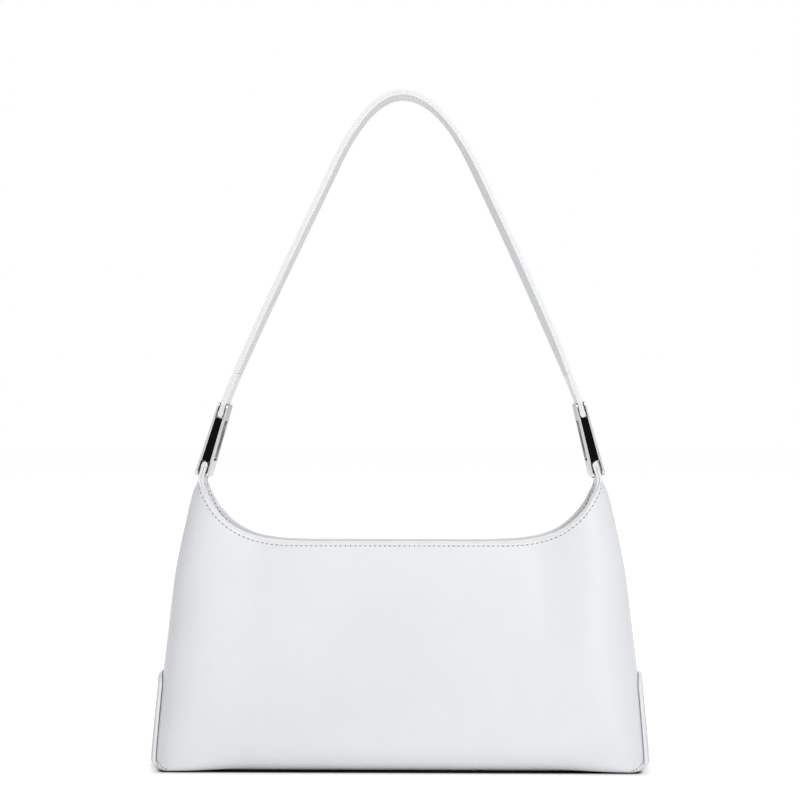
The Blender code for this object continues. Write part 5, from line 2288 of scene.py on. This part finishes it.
    def build(self) -> list[bpy.types.Object]:
        """Return the tab and its stitches.

        Returns:
            The tab and its stitches.
        """
        count = len(self.rows())
        outer, inner = self.surface(True), self.surface(False)
        middle, ends = np.array((0.0,)), np.array((-1.0, 1.0))
        thickness = np.array([
            np.linalg.norm(outer(n, middle) - inner(n, middle)) for n in range(count)
        ])
        spans = [np.linalg.norm(np.diff(outer(n, ends), axis=0)) for n in range(count)]
        half = np.maximum(self.width / 2, np.array(spans) / 2)
        word, finish = self.side.word, self.shop.finishes.leather
        name = f"tab_{word}_leather"
        piece = leather_strip(
            name, outer, inner, thickness, half, finish, 20, self.soft, self.soft_inside
        )
        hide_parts(f"tab_{word}")
        lines = []
        first, last = 1, self.rise_steps - 3
        for mirror in (-1, 1):
            for start, end in ((first, last), (count - 1 - last, count - 1 - first)):
                line, under = [], []
                for n in range(start, end + 1):
                    place = np.array([mirror * (1 - self.stitch_inset / half[n])])
                    line.append(outer(n, place)[0])
                    under.append(inner(n, place)[0])
                lines.append((np.array(line), unit(np.array(line) - np.array(under))))
        sewn = self.shop.stitches.sew(f"tab_{word}_stitches", lines)
        return [self.shop.flexes(made, Slot.LEATHER) for made in (piece, sewn)]


@dataclass
class Link:
    """One metal link: two cheeks, the core between them painted black as shade, and its posts."""

    shop: Workshop
    side: Side
    body_name: str
    softness: float = 0.00028
    core_softness: float = 0.0003
    corner_radius: float = 0.0016
    lip_radii: tuple[float, ...] = (0.0006, 0.0006, 0.0003, 0.0006, 0.0004)
    core_radius: float = 0.0006
    window_radius: float = 0.0022
    cap_ease: float = 0.00004
    core_cap_ease: float = 0.00005
    lip_margin: float = 0.0001

    def _outline(self, toward: int, inset: float, ease: float) -> Points:
        """Return a cheek's rounded (x, z) outline, its ends set in and all of it eased.

        Args:
            toward: 1 where the cheek faces the link's right, else -1.
            inset: How far the edge is moved in.
            ease: How far every side is moved in.

        Returns:
            The outline's points.
        """
        link = self.shop.link
        outer, inner, lip = link.thickness / 2, link.inner_face, link.lip_opening / 2
        low, high = -link.end + inset, link.rod_spacing + link.end - inset
        pad = link.rod_spacing / 2 - link.core_reach
        half = [
            (lip, low), (lip, low + link.lip_height), (inner, low + link.lip_height + 0.0001),
            (inner, pad - link.pad / 2), (link.pad_face, pad + link.pad / 2),
        ]
        lips = self.lip_radii
        mirrored = [(max(x, lip + link.lip_ease), high + low - z) for x, z in reversed(half)]
        points = [(outer, low)] + half + mirrored + [(outer, high)]
        radii = [self.corner_radius, *lips, *lips[::-1], self.corner_radius]
        made = rounded_outline(*moved_corners(points, radii, ease), 6)
        made[:, 0] = link.hung(made[:, 0] * toward, made[:, 1])
        return made

    def _cheek(self, name: str, toward: int) -> bpy.types.Object:
        """Return one cheek plate with curled ends, softened corners and black painted shade inside.

        Args:
            name: The piece's name.
            toward: 1 where the cheek faces the link's right, else -1.

        Returns:
            The plate as a piece.
        """
        link, soft = self.shop.link, self.softness
        corner = link.corner
        steps = (0, 0, 0.00004, 0.0001, 0.00018, soft, 0.0005, 0.0008, 0.0012, corner)

        def outline(number: int, step: float) -> Points:
            """Return the outline at a step in from the plate's side.

            Args:
                number: The step's number.
                step: The distance in from the side.

            Returns:
                The outline's points.
            """
            inset = corner - math.sqrt(max(0.0, corner**2 - (corner - step) ** 2))
            ease = soft - math.sqrt(max(0.0, soft**2 - max(0.0, soft - step) ** 2))
            return self._outline(toward, inset, ease + (0.0 if number else self.cap_ease))

        mesh = self._skin(name, steps, link.width / 2, outline)
        made = add_piece(name, mesh, self.shop.finishes.chrome, self.shop.finishes.enamel)
        frame = np.array(link.frame(self.shop.body, self.side))
        inward, origin = -toward * frame[:3, 0], frame[:3, 3]
        # painted shade: the inner faces between the lips take the black finish, for the dark recess
        # between the cheeks
        for face in made.data.polygons:
            x, _, along = (np.array(face.center) - origin) @ frame[:3, :3]
            lip = link.hung(toward * (link.lip_opening / 2 + self.lip_margin), along)
            if np.array(face.normal) @ inward > 0.5 and toward * x > toward * lip:
                face.material_index = 1
        return made

    def _skin(
        self,
        name: str,
        steps: Sequence[float],
        half_width: float,
        outline: Callable[[int, float], Points],
    ) -> bpy.types.Mesh:
        """Return the mesh of a plate whose two sides are rounded over in the same steps.

        Args:
            name: The mesh's name.
            steps: Distances in from each side, the first at the side itself.
            half_width: Half the plate's width.
            outline: Gives the (x, z) outline from a step's number and distance.

        Returns:
            The closed mesh.
        """
        frame = self.shop.link.frame(self.shop.body, self.side)
        rings = []
        for way in (-1, 1):
            part = []
            for number, step in enumerate(steps):
                x, z = outline(number, step).T
                part.append(in_frame(frame, x, way * (half_width - step), z))
            rings += part if way < 0 else part[::-1]
        return ring_mesh(name, np.array(rings))

    def _cut_window(self, cheek: bpy.types.Object, toward: int) -> None:
        """Cut the rounded window out of the inner cheek.

        Args:
            cheek: The cheek.
            toward: 1 where the cheek faces the link's right, else -1.
        """
        link = self.shop.link
        wide, long = (size / 2 for size in link.window)
        corners = [(-wide, -long), (wide, -long), (wide, long), (-wide, long)]
        y, z = rounded_outline(corners, [self.window_radius] * 4, 7).T
        frame = link.frame(self.shop.body, self.side)
        depths = (0.0, toward * link.thickness)
        rings = [in_frame(frame, x, y, z + link.rod_spacing / 2) for x in depths]
        cutter = add_piece("window_cutter", ring_mesh("window_cutter", np.array(rings)))
        modifier = cheek.modifiers.new("window", "BOOLEAN")
        modifier.operation, modifier.object, modifier.solver = "DIFFERENCE", cutter, "EXACT"
        bake_modifiers(cheek)
        bpy.data.objects.remove(cutter)
        tidy_mesh(cheek.data, 32.0)

    def _core(self, name: str) -> bpy.types.Object:
        """Return the softened core, painted black as shade for the gap between the cheeks.

        Args:
            name: The piece's name.

        Returns:
            The core as a piece.
        """
        link = self.shop.link
        half, reach = link.pad_face - link.gap / 3, link.core_reach
        centre, width = link.rod_spacing / 2, link.width / 2 - link.core_setback
        corners = [(-half, -reach), (half, -reach), (half, reach), (-half, reach)]
        radii, soft = [self.core_radius] * 4, self.core_softness

        def outline(number: int, step: float) -> Points:
            """Return the outline at a step in from the core's side.

            Args:
                number: The step's number.
                step: The distance in from the side.

            Returns:
                The outline's points.
            """
            ease = soft - math.sqrt(soft**2 - (soft - step) ** 2)
            ease += 0.0 if number else self.core_cap_ease
            flat = rounded_outline(*moved_corners(corners, radii, ease), 6) + (0.0, centre)
            flat[:, 0] = link.hung(flat[:, 0], flat[:, 1])
            return flat

        mesh = self._skin(name, (0, 0, 0.00003, 0.00009, 0.00018, soft), width, outline)
        return add_piece(name, mesh, self.shop.finishes.enamel)

    def _post(self, name: str, way: int) -> bpy.types.Object:
        """Return the domed head of one post, seen in the inner cheek's window.

        Args:
            name: The piece's name.
            way: -1 for the lower post and 1 for the upper one.

        Returns:
            The post as a piece.
        """
        link = self.shop.link
        along = link.rod_spacing / 2 + way * link.post_spacing / 2
        half = (link.pad_face - link.gap) * (1 - link.taper * link.share(along))
        turn = Matrix.Rotation(math.radians(90) * -int(self.side), 4, "Y")
        shift = Matrix.Translation((link.hung(0.0, along), 0, along))
        place = link.frame(self.shop.body, self.side) @ shift @ turn
        r = link.post_radius
        profile = [
            (r, -half + 0.0002), (r, half), (r + 0.0005, half + 0.00005),
            (r + 0.0007, half + 0.0002), (r + 0.0005, half + 0.0004), (r * 0.6, half + 0.0006),
            (0.0, half + 0.00065),
        ]
        return add_piece(name, turned_mesh(name, profile, place, 28), self.shop.finishes.chrome)

    def build(self) -> list[bpy.types.Object]:
        """Return every piece of the link.

        Returns:
            The pieces.
        """
        word, toward = self.side.word, int(self.side)
        outer = self._cheek(f"outer_cheek_{word}_plate", toward)
        inner = self._cheek(f"inner_cheek_{word}_plate", -toward)
        self._cut_window(inner, -toward)
        core = self._core(f"link_core_{word}_enamel")
        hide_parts(f"outer_cheek_{word}")
        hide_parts(f"inner_cheek_{word}")
        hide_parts(f"link_core_{word}")
        posts = [self._post(f"link_post_{word}_{number}", way) for number, way in ((1, -1), (2, 1))]
        shop, body_name = self.shop, self.body_name
        made = [shop.rides(piece, body_name, Slot.CHROME) for piece in (outer, inner, *posts)]
        return made + [shop.rides(core, body_name, Slot.ENAMEL)]


@dataclass
class Strap:
    """The handle: outer leather looped round both rods, a stiff core and inner leather."""

    shop: Workshop
    top: float = 0.3912
    width: float = 0.0220
    leather: float = 0.0010
    core: float = 0.0005
    core_inset: float = 0.0010
    core_soft: float = 0.0001
    groove: float = 0.00002
    turn_length: float = 0.0180
    neck_length: float = 0.0070
    elbow: tuple[float, float] = (0.859, 0.224)
    crown: tuple[float, float] = (0.417, 0.742)
    corner: float = 0.2104
    loop_half_width: float = 0.00185
    soft: float = 0.00045
    lean: float = 0.0028
    lean_heights: tuple[float, ...] = (-0.005, 0.009, 0.07, 0.2, 0.5, 0.72, 0.88, 1.0)
    lean_shares: tuple[float, ...] = (0.336, 0.40, 0.43, 0.62, 0.9, 1.0, 0.85, 0.45)
    rod_chamfer: float = 0.0002
    twist: tuple[float, float] = (math.radians(1.4), math.radians(5.6))
    edge_inside: float = 0.00008
    leg_steps: int = 60
    crown_steps: int = 44
    loop_steps: int = 26
    free_rise: float = 0.25
    held_rise: tuple[float, float] = (0.70, 0.24)
    lean_start: float = 0.004
    loop_close: float = math.radians(40)

    @property
    def thickness(self) -> float:
        """Return the strap's whole thickness."""
        return 2 * self.leather + self.core + 2 * self.shop.body.gap

    @cached_property
    def centre(self) -> Points:
        """Return the strap's centre line in (x, z), from the right neck over to the left one.

        Returns:
            The centre line's points.
        """
        link, body = self.shop.link, self.shop.body
        frame = link.frame(body, Side.RIGHT)
        rod = frame @ Vector((0, 0, link.rod_spacing))
        neck = frame @ Vector((0, 0, link.rod_spacing + self.neck_length))
        apex = self.top - self.thickness / 2
        rise = apex - rod.z
        elbow, crown = (
            np.array((rod.x * out, rod.z + rise * up)) for out, up in (self.elbow, self.crown)
        )
        corner = np.array((rod.x * self.corner, apex))
        low, peak = np.array((neck.x, neck.z)), np.array((0.0, apex))

        def curve(a: Points, b: Points, c: Points, shares: Points) -> Points:
            """Return points of a curve through a and c that bends towards b."""
            s = shares[:, None]
            return (1 - s) ** 2 * a + 2 * s * (1 - s) * b + s * s * c

        leg = curve(low, elbow, crown, np.linspace(0, 1, self.leg_steps)[:-1])
        over = curve(crown, corner, peak, np.linspace(0, 1, self.crown_steps))
        right = np.concatenate([leg, over])
        return np.concatenate([right, (right * (-1, 1))[-2::-1]])

    @cached_property
    def normal(self) -> Points:
        """Return the outward direction of the centre line in (x, z)."""
        along = unit(np.gradient(self.centre, axis=0))
        return np.stack([along[:, 1], -along[:, 0]], -1)

    def offset(self, distance: float) -> Points:
        """Return the centre line moved outwards."""
        return self.centre + self.normal * distance

    def _loop(self, side: Side, wide: float, long: float, meet: float) -> Points:
        """Return a loop round a strap rod, from the outer leg to the turned-in end.

        Args:
            side: The end of the bag.
            wide: Half the loop's width.
            long: Half its height.
            meet: The angle at which the legs meet it.

        Returns:
            The loop's points in (x, z).
        """
        link = self.shop.link
        turn = np.linspace(meet, 2 * math.pi - meet, self.loop_steps)
        across, along = side * wide * np.sin(turn), link.rod_spacing + long * np.cos(turn)
        return in_frame(link.frame(self.shop.body, side), across, 0.0, along)[:, (0, 2)]

    def _ends(self, line: Points) -> tuple[Points, Points, Points]:
        """Return the turned-in piece at the right, the middle piece and the left one.

        Args:
            line: Points in (x, z).

        Returns:
            The three pieces of the line.
        """
        length, gap = path_lengths(line), self.shop.body.gap / 2
        whole = length[-1]
        low, high = self.turn_length, whole - self.turn_length

        def part(start: float, end: float) -> Points:
            """Return the part of the line between two lengths."""
            first, last = path_points(line, np.array((start, end)))
            return np.concatenate([[first], line[(length > start) & (length < end)], [last]])

        return part(0.0, low), part(low + gap, high - gap), part(high, whole)

    def _relax(self, x: float, z: float) -> tuple[float, float]:
        """Return how far the soft strap leans at a place, and how far its edges twist apart.

        Args:
            x: The place across the bag.
            z: The height.

        Returns:
            The lean and the twist.
        """
        link = self.shop.link
        rod = link.frame(self.shop.body, Side.RIGHT) @ Vector((0, 0, link.rod_spacing))
        rise = (z - rod.z - self.lean_start) / (self.top - rod.z)
        shift = self.lean * float(np.interp(rise, self.lean_heights, self.lean_shares))
        turn = self.twist[0] if x < 0 else -self.twist[1]
        start, reach = self.held_rise
        free = smooth_step(np.array((rise / self.free_rise, (rise - start) / reach)))
        return shift, self.width / 2 * math.tan(turn) * float(free[0] * (1 - free[1]))

    def _face(self, line: Points, inset: float = 0.0) -> Surface:
        """Return the function that gives a flat band's points of a row, its edges set in.

        Args:
            line: Points in (x, z).
            inset: How far the edge is moved in.

        Returns:
            The function.
        """
        half = self.width / 2 - inset

        def points(row: int, places: Points) -> Points:
            """Return the row's points at places from -1 to 1.

            Args:
                row: The row's number.
                places: Places across the strip, from -1 to 1.

            Returns:
                The points.
            """
            x, z = line[row]
            shift, twist = self._relax(x, z)
            ones = np.ones(len(places))
            return np.stack([(x + shift) * ones + places * twist, places * half, z * ones], -1)

        return points

    def make_outer(self) -> bpy.types.Object:
        """Return the outer leather with its loops and turned-in ends.

        Returns:
            The leather as a piece.
        """
        half, fine = self.thickness / 2, self.groove / 2
        wide, long = self.loop_half_width, self.shop.link.loop_radius
        meet = math.asin(half / wide)
        far_ends, near_ends = self._ends(self.offset(-half)), self._ends(self.offset(-fine))
        near_ends = [path_evened(near, len(far)) for near, far in zip(near_ends, far_ends)]
        outer, inner = (
            np.concatenate([
                ends[0][::-1],
                self._loop(Side.RIGHT, *size)[::-1],
                self.offset(distance),
                self._loop(Side.LEFT, *size),
                ends[2][::-1],
            ])
            for ends, size, distance in (
                (far_ends, (wide, long, meet), half),
                (near_ends, (fine, fine, self.loop_close), fine),
            )
        )
        thick = np.linalg.norm(outer - inner, axis=1)
        leather = self.shop.finishes.leather
        piece = self._band("strap_outer_leather", outer, inner, thick, leather)
        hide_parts("strap_outer")
        return self.shop.rides(piece, "handle", Slot.LEATHER)

    def _band(
        self, name: str, far: Points, near: Points, thick: Points, finish: bpy.types.Material
    ) -> bpy.types.Object:
        """Return a band of the strap's leather.

        Args:
            name: The piece's name.
            far: The outer face's line in (x, z).
            near: The inner face's line, with as many points.
            thick: The leather's thickness at each point.
            finish: The leather.

        Returns:
            The band as a piece.
        """
        widths = np.full(len(far), self.width / 2)
        faces = self._face(far), self._face(near)
        return leather_strip(name, *faces, thick, widths, finish, 10, self.soft, self.edge_inside)

    def make_inner(self) -> bpy.types.Object:
        """Return the inner leather between the turned-in ends.

        Returns:
            The leather as a piece.
        """
        half, fine = self.thickness / 2, self.groove / 2
        lines = [self._ends(self.offset(-out))[1] for out in (half, fine)]
        count = max(len(line) for line in lines)
        far, near = (path_evened(line, count) for line in lines)
        thick, leather = np.full(count, half - fine), self.shop.finishes.strap_lining
        piece = self._band("strap_inner_leather", far, near, thick, leather)
        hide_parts("strap_inner")
        return self.shop.rides(piece, "handle", Slot.FACING)

    def make_core(self) -> bpy.types.Object:
        """Return the thin stiff core between the two leathers.

        Returns:
            The core as a piece.
        """
        half = self.core / 2
        far, near = (self._face(self.offset(out), self.core_inset) for out in (half, -half))
        count = len(self.centre)
        thick, widths = np.full(count, self.core), np.full(count, self.width / 2 - self.core_inset)
        board, soft = self.shop.finishes.board, self.core_soft
        piece = leather_strip("strap_core_board", far, near, thick, widths, board, 4, soft, soft)
        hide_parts("strap_core")
        return self.shop.rides(piece, "handle", Slot.BOARD)

    def make_rod(self, side: Side) -> bpy.types.Object:
        """Return the steel rod in one end's loop.

        Args:
            side: The end of the bag.

        Returns:
            The rod as a piece.
        """
        link, small = self.shop.link, self.rod_chamfer
        centre = link.frame(self.shop.body, side) @ Vector((0, 0, link.rod_spacing))
        centre.x += self._relax(centre.x, centre.z)[0]
        half = self.width / 2 - link.clearance
        place = Matrix.Translation(centre) @ Matrix.Rotation(math.radians(90), 4, "X")
        r = link.rod_radius
        profile = [(r - small, -half), (r, small - half), (r, half - small), (r - small, half)]
        word = side.word
        name = f"strap_rod_{word}_steel"
        piece = add_piece(name, turned_mesh(name, profile, place, 24), self.shop.finishes.steel)
        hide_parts(f"strap_rod_{word}")
        return self.shop.rides(piece, "handle", Slot.STEEL)

    def build(self) -> list[bpy.types.Object]:
        """Return every piece of the strap."""
        leathers = [self.make_outer(), self.make_inner(), self.make_core()]
        return leathers + [self.make_rod(side) for side in Side]


# Studio


@dataclass(frozen=True)
class Studio:
    """The plain white studio: floor, surrounding light, lamps and camera."""

    distance: float = 1.030
    height: float = 0.2117
    azimuth: float = math.radians(1.0)
    lens: float = 79.4
    world_light: float = 0.47
    floor_colour: Colour = (0.93, 0.93, 0.93)
    floor_glow: float = 0.55
    floor_reach: float = 6.0
    lamp_aim: float = 0.16
    lamps: tuple[tuple[str, tuple[float, float, float], float, float], ...] = (
        ("key_lamp", (0.75, -1.75, 1.00), 1.1, 19.0),
        ("fill_lamp", (-0.50, -1.9, 0.95), 1.0, 4.0),
        ("back_lamp", (-0.25, 1.80, 1.20), 1.2, 13.0),
    )
    # painted shadow: the near-black colour and half size of the patch on the floor under the bag's
    # base
    contact_colour: Colour = (0.012, 0.012, 0.012)
    contact: tuple[float, float] = (0.1375, 0.0290)

    def seen(self, tree: bpy.types.NodeTree) -> bpy.types.NodeSocket:
        """Return 1 for camera, glossy and transmission rays, and 0 for others.

        Args:
            tree: The tree that the nodes go into.

        Returns:
            The socket with the 1 or 0.
        """
        path = tree.nodes.new("ShaderNodeLightPath")
        total = path.outputs["Is Camera Ray"]
        for name in ("Is Glossy Ray", "Is Transmission Ray"):
            most = tree.nodes.new("ShaderNodeMath")
            most.operation = "MAXIMUM"
            tree.links.new(total, most.inputs[0])
            tree.links.new(path.outputs[name], most.inputs[1])
            total = most.outputs[0]
        return total

    def make_world(self) -> None:
        """Surround the bag with white, dimmer where it only lights."""
        world = bpy.data.worlds.new("white_surround")
        bpy.context.scene.world = world
        world.use_nodes = True
        tree = world.node_tree
        tree.nodes.clear()
        light, backdrop = (tree.nodes.new("ShaderNodeBackground") for _ in range(2))
        light.inputs["Strength"].default_value = self.world_light
        for background in (light, backdrop):
            background.inputs["Color"].default_value = (1.0, 1.0, 1.0, 1.0)
        mix = tree.nodes.new("ShaderNodeMixShader")
        output = tree.nodes.new("ShaderNodeOutputWorld")
        tree.links.new(self.seen(tree), mix.inputs[0])
        tree.links.new(light.outputs[0], mix.inputs[1])
        tree.links.new(backdrop.outputs[0], mix.inputs[2])
        tree.links.new(mix.outputs[0], output.inputs["Surface"])

    def make_floor(self) -> bpy.types.Object:
        """Return the pale floor, with the bag's shadow and a painted near-black shadow under its
        base.

        Returns:
            The floor.
        """
        graph = FinishGraph("studio_floor_finish")
        where = graph.place()
        speck = graph.noise(where, 60.0, 2.0)
        past = [
            (axis.maths("ABSOLUTE") - (reach - 0.004)).maths("MAXIMUM")
            for axis, reach in zip(graph.split(where), self.contact)
        ]
        away = (past[0] * past[0] + past[1] * past[1]).maths("SQRT")
        seen = Shade(graph, self.seen(graph.tree))
        # painted shadow: the floor's colour goes near-black over the bag's footprint, for the dark
        # line under the base
        under = (1 - ((away - 0.0025) * 300.0).clamp()) * seen
        # the floor's glow fades out near the footprint, so the rendered shadow shows there
        glow = ((away - 0.004) * 90.0).clamp() * seen
        tone = graph.mix(speck, self.floor_colour, tuple(c + 0.01 for c in self.floor_colour))
        graph.set("Base Color", graph.mix(under, tone, self.contact_colour))
        graph.set("Roughness", 0.9)
        graph.set("Specular IOR Level", 0.0)
        graph.set("Emission Color", graph.mix(glow, (0.0, 0.0, 0.0), (1.0, 1.0, 1.0)))
        graph.set("Emission Strength", self.floor_glow)
        mesh = bpy.data.meshes.new("studio_floor")
        reach = self.floor_reach
        corners = [(-reach, -reach, 0), (reach, -reach, 0), (reach, reach, 0), (-reach, reach, 0)]
        mesh.from_pydata(corners, [], [(0, 1, 2, 3)])
        floor = add_piece("studio_floor", mesh, graph.material)
        return floor

    def add_lamp(self, name: str, place: Vector, size: float, power: float) -> None:
        """Add one soft square lamp that faces the bag.

        Args:
            name: The lamp's name.
            place: Where it stands.
            size: The length of its sides.
            power: Its power, in watts.
        """
        lamp = bpy.data.lights.new(name, "AREA")
        lamp.shape = "SQUARE"
        lamp.size = size
        lamp.energy = power
        holder = bpy.data.objects.new(name, lamp)
        bpy.context.scene.collection.objects.link(holder)
        holder.location = place
        aim = Vector((0, 0, self.lamp_aim)) - place
        holder.rotation_euler = aim.to_track_quat("-Z", "Y").to_euler()

    def make_camera(self) -> None:
        """Add the level camera that looks at the bag as the photograph does."""
        camera = bpy.data.cameras.new("front_camera")
        camera.lens = self.lens
        camera.sensor_width = 36.0
        camera.dof.use_dof = False
        camera.clip_start = 0.05
        holder = bpy.data.objects.new("front_camera", camera)
        bpy.context.scene.collection.objects.link(holder)
        reach, turn = self.distance, self.azimuth
        holder.location = (reach * math.sin(turn), -reach * math.cos(turn), self.height)
        holder.rotation_euler = (math.radians(90), 0, turn)
        bpy.context.scene.camera = holder

    def build(self) -> None:
        """Set up the whole studio."""
        bpy.context.scene.view_settings.view_transform = "Standard"
        self.make_world()
        self.make_floor()
        for name, place, size, power in self.lamps:
            self.add_lamp(name, Vector(place), size, power)
        self.make_camera()


def dress_hidden_nodes(finishes: FinishSet) -> None:
    """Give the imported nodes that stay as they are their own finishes.

    Args:
        finishes: Every finish.
    """
    boards = ("front_stiffener", "back_stiffener", "base_board")
    steels = ("front_washer", "back_washer", "tab_rod_left", "tab_rod_right")
    for names, material in ((boards, finishes.board), (steels, finishes.steel)):
        for name in names:
            mesh = frame["nodes"][name].data
            mesh.materials.clear()
            mesh.materials.append(material)


def main() -> None:
    """Build the bag piece by piece and set up the studio."""
    logging.basicConfig(level=logging.INFO, format="%(name)s: %(message)s")
    Studio().build()
    finishes = FinishSet()
    shop = Workshop(BodyForm(), LinkForm(), finishes, StitchRow(finishes))
    assemblies = [Walls(shop), Lining(shop), BaseStrip(shop), Snap(shop)]
    assemblies += [Tab(shop, side) for side in Side]
    assemblies += [Link(shop, side, f"{side.word}_link") for side in Side]
    assemblies.append(Strap(shop))
    for assembly in assemblies:
        for piece in assembly.build():
            log.info("%s: %d faces", piece.name, len(piece.data.polygons))
    dress_hidden_nodes(finishes)


if __name__ == "__main__":
    main()
